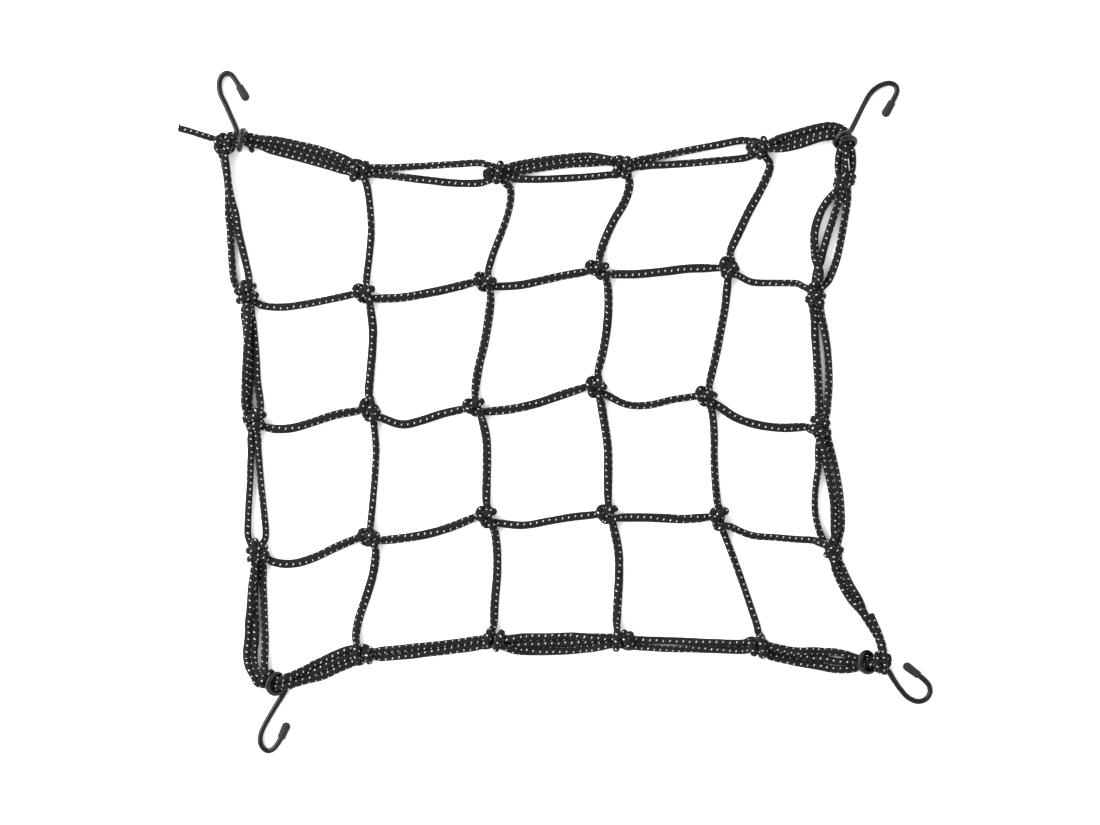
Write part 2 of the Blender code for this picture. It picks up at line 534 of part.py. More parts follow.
def part_segments(cl, rl, wires, held, rounds):
    """Moves the ring middles until every pair of straight pieces clears the next."""
    names = list(cl)
    P = np.vstack([cl[n] for n in names] + wires)
    r = np.concatenate([rl[n] for n in names] + [np.full(len(w), WIRE_D / 2 / HEXF) for w in wires])
    n_free = sum(len(cl[n]) for n in names)
    starts, o = [], 0
    for n in names:
        starts.append((o, len(cl[n])))
        o += len(cl[n])
    for w in wires:
        starts.append((o, len(w)))
        o += len(w)
    pin = np.zeros(len(P), bool)
    for c, n in enumerate(names):
        o, m = starts[c]
        if (n, 0) in held:
            pin[o:o + 2] = True
        if (n, 1) in held:
            pin[o + m - 2:o + m] = True
    fixed = P[pin].copy()
    sa, sc, so = [], [], []
    for c, (o, m) in enumerate(starts):
        L = 0.0
        for i in range(o, o + m - 1):
            sa.append(i)
            sc.append(c)
            so.append(L)
            L += float(np.linalg.norm(P[i + 1] - P[i]))
    sa, sc, so = np.array(sa), np.array(sc), np.array(so)
    nw = len(names)
    worst = 9.0
    for it in range(rounds):
        if it % 20 == 0:
            lo = np.minimum(P[sa], P[sa + 1]) - 3.0
            hi = np.maximum(P[sa], P[sa + 1]) + 3.0
            I, J = [], []
            for i in range(len(sa)):
                ok = np.all((lo[i] <= hi[i + 1:]) & (hi[i] >= lo[i + 1:]), axis=1)
                j = np.where(ok)[0] + i + 1
                ln = np.linalg.norm(P[sa[i] + 1] - P[sa[i]])
                j = j[~((sc[j] == sc[i]) & (so[j] - so[i] - ln < 7.0))]
                j = j[~((sc[j] >= nw) & (sc[i] >= nw))]
                if pin[sa[i]] and pin[sa[i] + 1]:
                    j = j[~(pin[sa[j]] & pin[sa[j] + 1])]
                I += [i] * len(j)
                J += list(j)
            I, J = np.array(I), np.array(J)
        a, b = sa[I], sa[J]
        s, t = seg_closest(P[a], P[a + 1], P[b], P[b + 1])
        X = P[a] + (P[a + 1] - P[a]) * s[:, None]
        Y = P[b] + (P[b + 1] - P[b]) * t[:, None]
        ra = r[a] + (r[a + 1] - r[a]) * s
        rb = r[b] + (r[b + 1] - r[b]) * t
        D = X - Y
        dist = np.linalg.norm(D, axis=1)
        need = (ra + rb) * HEXF + 0.36
        worst = float((dist - need).min()) + 0.36
        h = np.where(dist < need)[0]
        if len(h) == 0:
            break
        push = (need[h] - dist[h])[:, None] * D[h] / np.maximum(dist[h], 1e-6)[:, None] * 0.5
        M = np.zeros_like(P)
        cnt = np.zeros(len(P))
        for node, w, sgn in ((a[h], 1 - s[h], 1), (a[h] + 1, s[h], 1), (b[h], 1 - t[h], -1), (b[h] + 1, t[h], -1)):
            wt = np.clip(w * 1.3, 0, 1)
            np.add.at(M, node, push * wt[:, None] * sgn * 1.5)
            np.add.at(cnt, node, (wt > 0.05) * 1.0)
        P[:n_free] += (M / np.maximum(cnt, 1.0)[:, None])[:n_free]
        P[:n_free, 2] = np.maximum(P[:n_free, 2], r[:n_free] * 0.90)
        P[pin] = fixed
    out = {n: P[starts[i][0]:starts[i][0] + starts[i][1]] for i, n in enumerate(names)}
    return out, worst


# ================================================================ solids
def frames(C):
    """Frames carried along the line, turned so that a flat faces down wherever the line is level."""
    T = np.zeros_like(C)
    T[1:-1] = C[2:] - C[:-2]
    d = np.diff(C, axis=0)
    d /= np.linalg.norm(d, axis=1)[:, None]
    T[1:-1] = d[1:] + d[:-1]
    T[0], T[-1] = d[0], d[-1]
    T /= np.maximum(np.linalg.norm(T, axis=1), 1e-9)[:, None]
    up = arr((0, 0, 1.0))
    side = np.cross(T[0], up)
    if np.linalg.norm(side) < 0.2:
        side = arr((1.0, 0, 0)) - T[0] * T[0][0]
    side /= np.linalg.norm(side)
    S = [side]
    for i in range(1, len(C)):
        s = S[-1]
        v = T[i - 1] + T[i]
        v /= max(np.linalg.norm(v), 1e-9)
        ax = np.cross(T[i - 1], T[i])
        sn, cs = np.linalg.norm(ax), float(T[i - 1] @ T[i])
        if sn > 1e-6:
            ax /= sn
            s = s * cs + np.cross(ax, s) * sn + ax * float(ax @ s) * (1 - cs)
        s = s - T[i] * float(s @ T[i])
        s /= np.linalg.norm(s)
        S.append(s)
    out, turn = [], 0.0
    for i in range(len(C)):
        s = S[i]
        n = np.cross(T[i], s)
        flat = np.cross(T[i], up)
        if np.linalg.norm(flat) > 0.35:
            ang = math.degrees(math.atan2(float(flat @ n), float(flat @ s)))
            want = turn + ((ang - turn + 30.0) % 60.0 - 30.0)
            turn += max(-24.0, min(24.0, want - turn)) if i else want - turn
        a = math.radians(turn)
        out.append((T[i], s * math.cos(a) + n * math.sin(a), -s * math.sin(a) + n * math.cos(a)))
    return out


def material(name, color, rough, metal=0.0, coat=0.0):
    m = bpy.data.materials.new(name)
    m.use_nodes = True
    b = m.node_tree.nodes["Principled BSDF"]
    b.inputs["Base Color"].default_value = (color[0], color[1], color[2], 1.0)
    b.inputs["Roughness"].default_value = rough
    b.inputs["Metallic"].default_value = metal
    if coat:
        b.inputs["Coat Weight"].default_value = coat
    return m


def finish(name, bm, mat):
    bmesh.ops.recalc_face_normals(bm, faces=bm.faces)
    me = bpy.data.meshes.new(name)
    bm.to_mesh(me)
    bm.free()
    for p in me.polygons:
        p.use_smooth = True
    ob = bpy.data.objects.new(name, me)
    me.materials.append(mat)
    bpy.context.scene.collection.objects.link(ob)
    return ob


def tube(name, C, R, sides, mat, first=0.0):
    """Closed tube of flat sides round the line C with the radius R of every ring."""
    bm = bmesh.new()
    rings = []
    for c, r, (t, s, n) in zip(C, R, frames(C)):
        ring = []
        for k in range(sides):
            a = 2 * math.pi * (k + first) / sides
            p = c + (s * math.cos(a) + n * math.sin(a)) * r
            z = max(p[2], 0.0)
            ring.append(bm.verts.new(((p[0] + SHIFT[0]) * MM, (p[1] + SHIFT[1]) * MM, z * MM)))
        rings.append(ring)
    for a, b in zip(rings[:-1], rings[1:]):
        for k in range(sides):
            j = (k + 1) % sides
            q = (a[k], a[j], b[j], b[k])
            if (q[0].co - q[2].co).length < (q[1].co - q[3].co).length:
                bm.faces.new((q[0], q[1], q[2]))
                bm.faces.new((q[0], q[2], q[3]))
            else:
                bm.faces.new((q[0], q[1], q[3]))
                bm.faces.new((q[1], q[2], q[3]))
    bm.faces.new(list(reversed(rings[0])))
    bm.faces.new(rings[-1])
    return finish(name, bm, mat)


def cap(name, mouth, d, mat, sides=12):
    """Rubber cup over the cut end of the wire: outer skin, rounded end, blind bore."""
    ro, rt, rb = CAP_MOUTH_D / 2, CAP_TIP_D / 2, CAP_BORE_D / 2
    depth = CAP_GRIP + 0.5
    e = CAP_LEN - rt
    prof = [(depth, 0.0), (depth, rb), (0.0, rb), (0.0, ro), (CAP_LEN * 0.35, ro * 1.02), (e, rt),
            (e + rt * 0.5, rt * 0.87), (e + rt * 0.87, rt * 0.5), (e + rt, 0.0)]
    s = np.cross(d, arr((0, 0, 1.0)))
    s /= np.linalg.norm(s)
    n = np.cross(d, s)
    bm = bmesh.new()
    rings = []
    for a, r in prof:
        c = mouth + d * a
        if r == 0.0:
            rings.append([bm.verts.new(((c[0] + SHIFT[0]) * MM, (c[1] + SHIFT[1]) * MM, c[2] * MM))])
            continue
        ring = []
        for k in range(sides):
            w = 2 * math.pi * (k + 0.5) / sides
            p = c + (s * math.cos(w) + n * math.sin(w)) * r
            ring.append(bm.verts.new(((p[0] + SHIFT[0]) * MM, (p[1] + SHIFT[1]) * MM, max(p[2], 0.0) * MM)))
        rings.append(ring)
    for a, b in zip(rings[:-1], rings[1:]):
        for k in range(sides):
            j = (k + 1) % sides
            if len(a) == 1:
                bm.faces.new((a[0], b[j], b[k]))
            elif len(b) == 1:
                bm.faces.new((a[k], a[j], b[0]))
            else:
                bm.faces.new((a[k], a[j], b[j], b[k]))
    return finish(name, bm, mat)


# ================================================================ build
for ob in list(bpy.data.objects):
    bpy.data.objects.remove(ob, do_unlink=True)

cord_mat = material("elastic_cord", (0.022, 0.022, 0.024), 0.75)
wire_mat = material("coated_wire", (0.012, 0.012, 0.013), 0.28, coat=0.4)
cap_mat = material("rubber_cap", (0.045, 0.045, 0.047), 0.65)

hooks = {h: hook_line(h) for h in HOOKS}
wires = [hooks[h][0] for h in HOOKS]
ways, held = routes()
lines = {n: spline(p, STEP) for n, p in ways.items()}
dense, radius = relax(lines, wires, held)

wire_thin = {}
for h in HOOKS:
    Q = hooks[h][0]
    wire_thin[h] = Q[thin(Q, 0.10)]
coarse, crad = {}, {}
for n in dense:
    Q = np.hstack([dense[n], radius[n][:, None] * 0.6])
    k = set(thin(Q, THIN))
    if (n, 0) in held:
        k.add(2)
    if (n, 1) in held:
        k.add(len(Q) - 3)
    k = sorted(k)
    coarse[n] = dense[n][k]
    crad[n] = radius[n][k]
coarse, worst = part_segments(coarse, crad, [wire_thin[h] for h in HOOKS], held, 500)
print("rings", sum(len(c) for c in coarse.values()), "least daylight mm %.3f" % worst)
for n in coarse:
    L = float(np.linalg.norm(np.diff(coarse[n], axis=0), axis=1).sum())
    print("%-18s rings %3d length %7.1f top %5.1f" % (n, len(coarse[n]), L, coarse[n][:, 2].max()))

for n in coarse:
    tube(n, coarse[n], crad[n] * HEXF, 6, cord_mat)
for h in HOOKS:
    tube("hook_" + h, wire_thin[h], np.full(len(wire_thin[h]), WIRE_D / 2), 8, wire_mat, 0.5)
    cap("cap_" + h, hooks[h][1], hooks[h][2], cap_mat)

lo = np.full(3, 1e9)
hi = -lo
tri = 0
for ob in bpy.data.objects:
    for v in ([] if ob.name == "free_tail" else ob.data.vertices):
        lo = np.minimum(lo, v.co)
        hi = np.maximum(hi, v.co)
    tri += sum(len(p.vertices) - 2 for p in ob.data.polygons)
print("box", np.round(lo / MM, 2), np.round(hi / MM, 2), "triangles", tri)
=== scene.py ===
# Looks of the cargo net: braided elastic cord, knots, coated wire hooks and rubber caps.
# Tables are in millimetres and repeat the routes of the CAD model.
import bpy
import bmesh
import math
import numpy as np
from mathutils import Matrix, Vector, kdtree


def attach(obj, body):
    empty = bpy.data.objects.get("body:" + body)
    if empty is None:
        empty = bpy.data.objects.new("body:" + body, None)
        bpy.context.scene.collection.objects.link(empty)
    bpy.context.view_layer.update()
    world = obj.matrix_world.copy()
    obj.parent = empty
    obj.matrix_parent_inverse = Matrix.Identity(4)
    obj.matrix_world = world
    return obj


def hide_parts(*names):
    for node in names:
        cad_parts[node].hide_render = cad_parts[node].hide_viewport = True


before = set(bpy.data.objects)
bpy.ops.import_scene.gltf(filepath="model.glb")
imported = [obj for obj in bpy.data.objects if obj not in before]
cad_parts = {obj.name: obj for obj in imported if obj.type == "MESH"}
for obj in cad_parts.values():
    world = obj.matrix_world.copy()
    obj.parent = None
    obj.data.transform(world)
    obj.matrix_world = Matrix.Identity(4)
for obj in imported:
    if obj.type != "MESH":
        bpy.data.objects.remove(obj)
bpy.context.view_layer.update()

MM = 0.001
CORD_D = 4.9
NECK_D = 3.2
WIRE_D = 3.6
CAP_MOUTH_D = 5.1
CAP_TIP_D = 5.7
CAP_BORE_D = 4.3
CAP_LEN = 10.6
CAP_GRIP = 5.2
EYE_R = 6.2
STEP = 1.1
SHIFT = (-12.61, 0.645)
PX = 0.642            # millimetres to one picture element of the camera's frame

# ---------------------------------------------------------------- knots: name, x, y
KNOTS = {
    "TL": (-209.3, 173.3), "T1": (-124.9, 154.1), "T2": (-39.5, 152.8), "T3": (44.3, 156.6),
    "T4": (130.3, 168.8), "TR": (186.8, 173.3), "TW": (185.3, 147.7),
    "L1": (-197.7, 75.1), "A1": (-123.3, 75.1), "A2": (-44.3, 82.8), "A3": (27.0, 90.5),
    "A4": (110.4, 93.1), "R1": (166.6, 77.4),
    "L2": (-192.6, -5.8), "B1": (-119.1, 0.6), "B2": (-52.3, 3.5), "B3": (25.7, 16.1),
    "B4": (96.3, 9.6), "R2": (169.5, -10.0),
    "L3": (-190.9, -88.6), "C1": (-119.1, -81.2), "C2": (-43.7, -67.1), "C3": (33.4, -65.2),
    "C4": (105.3, -68.7), "R3": (178.2, -88.6),
    "BL": (-186.8, -172.1), "D1": (-122.6, -156.0), "D2": (-39.8, -146.4), "D3": (42.4, -147.0),
    "D4": (130.0, -150.2), "BR": (211.2, -161.8),
}

# ---------------------------------------------------------------- runs between knots
# each row: from, to, sideways bow (left of travel) at 10, 30, 50, 70 and 90 % of the chord, layer
STATIONS = (0.1, 0.3, 0.5, 0.7, 0.9)
COLUMNS = {
    "column_cord_1": [("T1", "A1", (3.8, 5.6, 6.1, 4.4, 2.2)), ("A1", "B1", (4.0, 5.1, 3.8, 1.7, -0.2)),
                      ("B1", "C1", (2.7, 4.2, 3.5, 2.2, 0.7)), ("C1", "D1", (4.4, 3.5, -0.1, -4.4, -6.1))],
    "column_cord_2": [("T2", "A2", (11.6, 11.7, 8.5, 4.1, 0.7)), ("A2", "B2", (3.9, 3.9, 2.8, 0.7, 0.1)),
                      ("B2", "C2", (3.9, 5.6, 4.3, 2.3, 0.4)), ("C2", "D2", (3.9, 5.3, 4.4, 2.2, 0.8))],
    "column_cord_3": [("T3", "A3", (6.1, 6.2, 2.4, 0.0, -0.6)), ("A3", "B3", (6.5, 7.7, 6.9, 4.7, 1.4)),
                      ("B3", "C3", (2.3, 3.7, 4.4, 3.0, 1.4)), ("C3", "D3", (2.9, 4.5, 3.2, 0.5, -2.1))],
    "column_cord_4": [("T4", "A4", (10.6, 8.8, 5.0, 2.0, -0.5)), ("A4", "B4", (2.0, 3.1, 2.9, 2.5, 1.4)),
                      ("B4", "C4", (3.1, 3.1, 1.3, 0.3, -0.1)), ("C4", "D4", (0.0, 1.3, 2.2, 2.8, 3.0))],
}
ROWS = {
    "row_cord_1": [("L1", "A1", (-7.3, -8.4, -6.5, -3.6, -0.3)), ("A1", "A2", (-3.4, -4.7, -3.6, -1.8, -0.6)),
                   ("A2", "A3", (-4.0, -4.3, -2.8, -1.2, 0.2)), ("A3", "A4", (-2.8, -3.4, -2.4, -0.9, 0.3)),
                   ("A4", "R1", (-3.7, -5.8, -3.1, 0.1, 2.8))],
    "row_cord_2": [("L2", "B1", (-6.2, -7.3, -4.5, -1.1, -0.7)), ("B1", "B2", (-7.4, -10.2, -8.0, -4.3, -0.5)),
                   ("B2", "B3", (-4.2, -6.1, -5.2, -2.5, -0.3)), ("B3", "B4", (-6.6, -10.1, -9.1, -4.4, -0.1)),
                   ("B4", "R2", (-4.8, -8.3, -9.1, -6.9, -2.1))],
    "row_cord_3": [("L3", "C1", (-9.0, -11.7, -9.0, -3.8, 1.1)), ("C1", "C2", (-2.5, -4.5, -4.6, -2.8, -1.1)),
                   ("C2", "C3", (-6.9, -6.9, -4.7, -2.4, 0.0)), ("C3", "C4", (-2.5, -2.1, -1.8, -1.7, -1.6)),
                   ("C4", "R3", (-4.3, -5.3, -2.6, 0.2, 3.3))],
}
# border strands: layer 0 lies on the ground, layer 1 on the strands below it
BORDER = {
    "top_outer": [("TL", "T1", (4.5, 6.6, 7.1, 6.7, 4.5), 1), ("T1", "T2", (2.0, 2.9, 4.0, 5.3, 6.5), 1),
                  ("T2", "T3", (2.7, 5.5, 7.4, 7.7, 4.8), 1), ("T3", "T4", (2.9, 4.0, 4.9, 5.7, 6.5), 0),
                  ("T4", "TR", (2.2, 5.1, 7.9, 9.5, 9.3), 1), ("TR", "TW", (2.2, 4.9, 5.2, 3.9, 1.3), 0)],
    "top_inner": [("TL", "T1", (0.7, 1.8, 0.6, -0.7, -2.3), 0), ("T1", "T2", (-1.8, -3.5, -5.2, -6.8, -6.6), 0),
                  ("T2", "T3", (-4.1, -5.3, -5.5, -5.3, -4.4), 0), ("T3", "T4", (-0.8, -2.3, -3.5, -4.4, -5.1), 0),
                  ("T4", "TR", (-1.4, -1.5, 0.4, 3.2, 1.8), 1), ("TR", "TW", (-1.5, -3.9, -4.9, -3.3, -1.1), 0)],
    "right_outer": [("TW", "R1", (4.1, 6.8, 8.0, 8.6, 6.9), 0), ("R1", "R2", (2.4, 5.7, 7.3, 7.2, 5.3), 0),
                    ("R2", "R3", (4.8, 7.0, 8.4, 8.2, 5.2), 0), ("R3", "BR", (0.3, 0.5, 2.0, 3.6, 3.4), 0)],
    "right_inner": [("TW", "R1", (-4.1, -8.9, -9.7, -5.4, 1.4), 1), ("R1", "R2", (-0.9, -0.8, 0.0, 0.4, 0.0), 0),
                    ("R2", "R3", (-0.6, 1.8, 3.4, 3.7, 1.9), 1), ("R3", "BR", (-2.9, -3.9, -1.5, 1.7, 1.2), 1)],
    "left_outer": [("TL", "L1", (-2.8, -4.1, -5.2, -6.8, -7.5), 0), ("L1", "L2", (0.1, -0.9, -2.5, -4.2, -5.5), 1),
                   ("L2", "L3", (-2.1, -3.3, -4.2, -5.5, -6.2), 0), ("L3", "BL", (-2.0, -4.6, -6.6, -8.7, -9.1), 1)],
    "left_inner": [("TL", "L1", (-3.3, -3.2, -1.9, 0.4, 2.5), 1), ("L1", "L2", (0.4, 0.8, 2.2, 3.1, 4.1), 0),
                   ("L2", "L3", (0.9, 2.0, 3.0, 4.4, 5.5), 0), ("L3", "BL", (2.5, 2.3, 2.1, 1.9, 1.8), 0)],
    "bottom_outer": [("BL", "D1", (-3.9, -6.9, -6.0, -5.3, -3.3), 0), ("D1", "D2", (-2.5, -4.1, -4.1, -4.0, -3.2), 0),
                     ("D2", "D3", (-5.1, -7.2, -7.0, -5.3, -3.1), 1), ("D3", "D4", (-3.7, -4.6, -4.3, -4.1, -3.9), 0),
                     ("D4", "BR", (-5.3, -7.5, -8.0, -7.8, -2.7), 0)],
    "bottom_inner": [("BL", "D1", (-0.3, 0.0, 1.6, 3.9, 5.6), 0), ("D1", "D2", (0.4, 0.8, 0.6, 0.4, 0.7), 0),
                     ("D2", "D3", (0.4, 0.6, 0.9, 1.6, 1.9), 1), ("D3", "D4", (0.6, 0.7, 0.6, 0.4, 0.8), 0),
                     ("D4", "BR", (0.7, -0.3, 1.2, 2.6, 0.3), 1)],
    "top_third_1": [("TL", "T1", (2.0, 3.8, 4.0, 3.4, 2.1), 0)],
    "top_third_2": [("T2", "T3", (0.6, 1.9, 3.2, 4.2, 3.7), 0)],
    "top_third_3": [("T4", "TR", (0.1, 1.4, 3.5, 6.0, 4.6), 0), ("TR", "TW", (0.1, 0.2, -0.2, -0.3, -0.1), 1)],
    "right_third_1": [("TW", "R1", (-0.9, -0.1, -0.9, -1.2, -1.7), 0)],
    "right_third_2": [("R2", "R3", (-0.8, -2.8, -6.7, -8.6, -6.4), 0)],
    "left_third_1": [("L1", "L2", (-0.3, -0.5, -1.1, -2.1, -3.3), 0)],
    "left_third_2": [("L3", "BL", (-1.0, -3.3, -4.3, -4.9, -3.7), 0)],
    "bottom_third_1": [("BL", "D1", (-1.5, -3.5, -2.5, -0.7, 0.4), 0)],
    "bottom_third_2": [("D2", "D3", (-2.6, -3.0, -2.6, -1.7, -0.5), 0)],
    "bottom_third_3": [("D4", "BR", (-2.1, -2.2, -2.4, -3.4, -1.5), 0)],
}

# ---------------------------------------------------------------- knots in the mesh
# lobes of each knot, from its middle, right and up: the upper left one, the one on the right, the lower one,
# each with the radius of its outline; then whether the cord leaves in front of the upright cord
LOBES = {
    "A1": ((-122.0, 75.8), (-4.5, 1.9, 4.5), (2.8, 2.2, 3.2), (-1.9, -4.5, 3.2), False),
    "A2": ((-44.9, 82.8), (-3.9, 2.6, 4.2), (4.2, 0.6, 3.2), (-1.9, -3.9, 3.5), False),
    "A3": ((28.2, 91.2), (-5.1, 1.3, 5.1), (2.8, 1.7, 3.9), (1.3, -4.1, 3.2), True),
    "A4": ((110.4, 91.8), (0.0, 3.2, 5.1), (4.7, -0.8, 3.2), (-1.3, -3.9, 3.5), True),
    "B1": ((-118.1, 0.0), (-2.6, 3.9, 5.5), (3.4, -0.8, 3.4), (-1.9, -3.9, 3.5), True),
    "B2": ((-52.0, 3.2), (-3.9, 0.6, 4.5), (3.2, 2.6, 3.2), (1.3, -4.5, 3.2), False),
    "B3": ((26.3, 16.1), (-1.9, 2.6, 4.5), (3.4, -0.6, 3.2), (-1.9, -5.1, 3.9), False),
    "B4": ((96.9, 9.6), (-3.2, 2.6, 4.5), (3.2, 0.6, 3.9), (-1.9, -4.5, 3.2), False),
    "C1": ((-120.1, -80.9), (-3.2, 1.9, 3.9), (4.5, 1.3, 3.5), (-1.3, -3.4, 3.2), True),
    "C2": ((-44.3, -67.4), (-1.9, 2.6, 3.9), (2.1, 2.6, 3.9), (0.0, -5.1, 3.9), False),
    "C3": ((34.0, -65.5), (-3.9, 1.3, 3.9), (2.6, 2.6, 3.2), (-1.9, -3.9, 3.9), True),
    "C4": ((105.3, -68.7), (-1.5, 3.1, 3.8), (1.0, 4.0, 3.8), (-1.3, -5.1, 3.5), True),
}
# where the upright cord enters and leaves each knot, sideways from its middle
UPRIGHT = {"A1": (1.0, 2.7), "A2": (1.6, 2.9), "A3": (0.5, 2.8), "A4": (1.6, 1.0), "B1": (-0.3, 1.2), "B2": (0.9, 3.6),
           "B3": (1.0, 1.0), "B4": (1.6, 1.6), "C1": (1.2, 3.9), "C2": (0.4, 2.4), "C3": (0.6, 2.8), "C4": (-0.8, 0.9)}
# hitches on the border, two turns side by side: where each turn sits along the border, its outer and inner edge,
# from the knot's middle; then whether the cord arrives over the border strands
TURNS = {
    "T1": ((2.2, -6.4, 4.6), (-3.3, -4.4, 7.0), False), "T2": ((3.3, -7.6, 6.8), (-2.8, -5.6, 5.2), False),
    "T3": ((1.0, -6.7, 8.3), (-4.2, -4.6, 7.0), False), "T4": ((2.0, -7.0, 7.7), (-3.8, -5.2, 5.8), False),
    "D1": ((-5.6, -6.4, 5.8), (2.0, -6.6, 5.2), True), "D2": ((-3.6, -6.6, 6.3), (3.9, -7.0, 6.8), False),
    "D3": ((-4.6, -6.2, 5.6), (3.6, -7.5, 6.3), True), "D4": ((2.7, -7.7, 5.6), (-3.6, -7.0, 5.5), False),
    "L1": ((-2.6, -6.3, 7.0), (3.7, -8.2, 6.3), False), "L2": ((-3.2, -4.6, 5.9), (2.6, -5.2, 7.1), False),
    "L3": ((-5.0, -6.2, 6.7), (0.2, -6.2, 6.1), False),
    "R1": ((-3.2, -7.2, 7.4), (-7.2, -7.4, 5.6), True), "R2": ((-2.9, -7.0, 6.3), (3.5, -6.4, 6.4), False),
    "R3": ((0.2, -6.0, 7.6), (-3.8, -5.6, 5.8), True),
}
BUNDLE_Z = 5.4        # border strands inside a hitch
THIRD_Z = 6.4         # third strand between the other two
EDGE = {"T": ((1, 0), (0, -1)), "D": ((1, 0), (0, 1)), "L": ((0, 1), (1, 0)), "R": ((0, 1), (-1, 0))}

# ---------------------------------------------------------------- corner windings
# name, middle x, y, height, axis angle, radius, turns, rise per turn, start angle
WRAPS = {
    "wrap_top_left": (-211.2, 170.0, 7.0, 48.0, 6.3, 2.6, 4.3, -100.0),
    "wrap_top_right": (185.6, 147.7, 6.4, -90.0, 5.0, 2.0, 3.9, -100.0),
    "wrap_bottom_left": (-189.6, -170.0, 7.0, -38.0, 6.3, 2.2, 4.3, -100.0),
    "wrap_bottom_right": (212.4, -160.0, 8.6, 55.0, 6.2, 2.1, 4.3, -100.0),
}

# ---------------------------------------------------------------- hooks: tip to shank, x, y, z
HOOKS = {
    "top_left": [(-199.0, 201.9, 2.8), (-200.9, 205.4, 2.8), (-202.9, 208.7, 2.8), (-205.1, 212.2, 2.5),
                 (-207.7, 215.7, 2.2), (-210.6, 217.0, 1.9), (-213.5, 215.7, 1.8), (-215.3, 212.5, 1.8),
                 (-215.7, 208.0, 1.8), (-214.6, 202.9, 1.8), (-212.2, 198.1, 1.8), (-208.3, 189.4, 1.8),
                 (-204.9, 181.4, 1.8)],
    "top_right": [(212.2, 191.0, 2.8), (214.1, 194.8, 2.8), (216.4, 198.4, 2.8), (218.3, 201.9, 2.5),
                  (219.6, 205.8, 2.2), (218.6, 209.0, 1.9), (215.1, 210.6, 1.8), (210.9, 209.9, 1.8),
                  (206.1, 207.4, 1.9), (201.9, 203.2, 2.3), (198.4, 197.1, 3.6), (194.2, 188.9, 6.4),
                  (190.6, 181.9, 8.6), (189.3, 179.7, 9.2)],
    "bottom_left": [(-172.7, -202.6, 2.8), (-174.3, -206.7, 2.8), (-175.9, -209.9, 2.8), (-178.5, -214.1, 2.5),
                    (-181.4, -217.3, 2.2), (-184.6, -218.3, 1.9), (-188.1, -215.7, 1.8), (-189.4, -211.2, 1.8),
                    (-188.7, -206.7, 1.8), (-186.6, -201.9, 1.8), (-182.6, -194.8, 1.8), (-178.1, -187.5, 1.8),
                    (-173.6, -180.4, 2.0), (-171.4, -175.4, 2.8)],
    "bottom_right": [(226.3, -164.2, 2.8), (229.9, -166.9, 2.8), (233.6, -169.8, 2.8), (237.5, -173.0, 2.5),
                     (240.3, -176.6, 2.2), (240.8, -180.7, 1.9), (238.8, -184.4, 1.8), (235.0, -186.4, 1.8),
                     (231.1, -186.2, 1.8), (226.6, -183.9, 1.8), (222.3, -179.4, 1.8), (217.5, -172.6, 1.8),
                     (213.4, -166.2, 1.8)],
}
# eyes: middle x, y, direction of the high side, tilt, first angle, last angle, advance per turn
EYES = {
    "top_left": (-202.6, 173.6, 180.0, 90.0, -75.0, -440.0, 5.4),
    "top_right": (185.5, 173.6, 99.0, 56.0, 75.0, 470.0, 3.8),
    "bottom_left": (-179.2, -174.6, 160.0, 42.0, 330.0, 606.0, 3.0),
    "bottom_right": (199.2, -160.9, 176.0, 38.0, 285.0, 600.0, 4.0),
}

TAIL = [(-241.2, 181.4, 2.35), (-235.5, 180.0, 2.35), (-228.5, 177.7, 2.35), (-222.5, 175.8, 2.3),
        (-217.3, 174.2, 1.9), (-208.6, 171.7, 1.6)]
CUT_WAY = [(869.9, 614.2, 7.6), (871.0, 617.0, 8.2), (874.4, 625.0, 9.2), (879.4, 637.5, 10.0), (882.4, 650.0, 10.6),
           (883.4, 658.0, 10.8), (883.2, 663.6, 10.0), (882.2, 668.0, 7.0), (881.0, 668.6, 4.4)]



# ================================================================ routes
def arr(v):
    return np.array(v, dtype=float)


def spline(ctrl, step):
    """Centripetal Catmull-Rom through the points, resampled at an even step."""
    P = arr(ctrl)
    P = np.vstack([2 * P[0] - P[1], P, 2 * P[-1] - P[-2]])
    out = []
    for i in range(1, len(P) - 2):
        p0, p1, p2, p3 = P[i - 1], P[i], P[i + 1], P[i + 2]
        t0 = 0.0
        t1 = t0 + max(1e-6, np.linalg.norm(p1 - p0)) ** 0.5
        t2 = t1 + max(1e-6, np.linalg.norm(p2 - p1)) ** 0.5
        t3 = t2 + max(1e-6, np.linalg.norm(p3 - p2)) ** 0.5
        n = max(4, int(np.linalg.norm(p2 - p1) / 0.4))
        t = np.linspace(t1, t2, n, endpoint=False)[:, None]
        a1 = (t1 - t) / (t1 - t0) * p0 + (t - t0) / (t1 - t0) * p1
        a2 = (t2 - t) / (t2 - t1) * p1 + (t - t1) / (t2 - t1) * p2
        a3 = (t3 - t) / (t3 - t2) * p2 + (t - t2) / (t3 - t2) * p3
        b1 = (t2 - t) / (t2 - t0) * a1 + (t - t0) / (t2 - t0) * a2
        b2 = (t3 - t) / (t3 - t1) * a2 + (t - t1) / (t3 - t1) * a3
        out.append((t2 - t) / (t2 - t1) * b1 + (t - t1) / (t2 - t1) * b2)
    out.append(P[-2][None, :])
    Q = np.vstack(out)
    s = np.concatenate([[0.0], np.cumsum(np.linalg.norm(np.diff(Q, axis=0), axis=1))])
    m = max(3, int(round(s[-1] / step)) + 1)
    u = np.linspace(0, s[-1], m)
    return np.stack([np.interp(u, s, Q[:, k]) for k in range(3)], axis=1)


def smooth01(x):
    x = np.clip(x, 0.0, 1.0)
    return x * x * (3 - 2 * x)


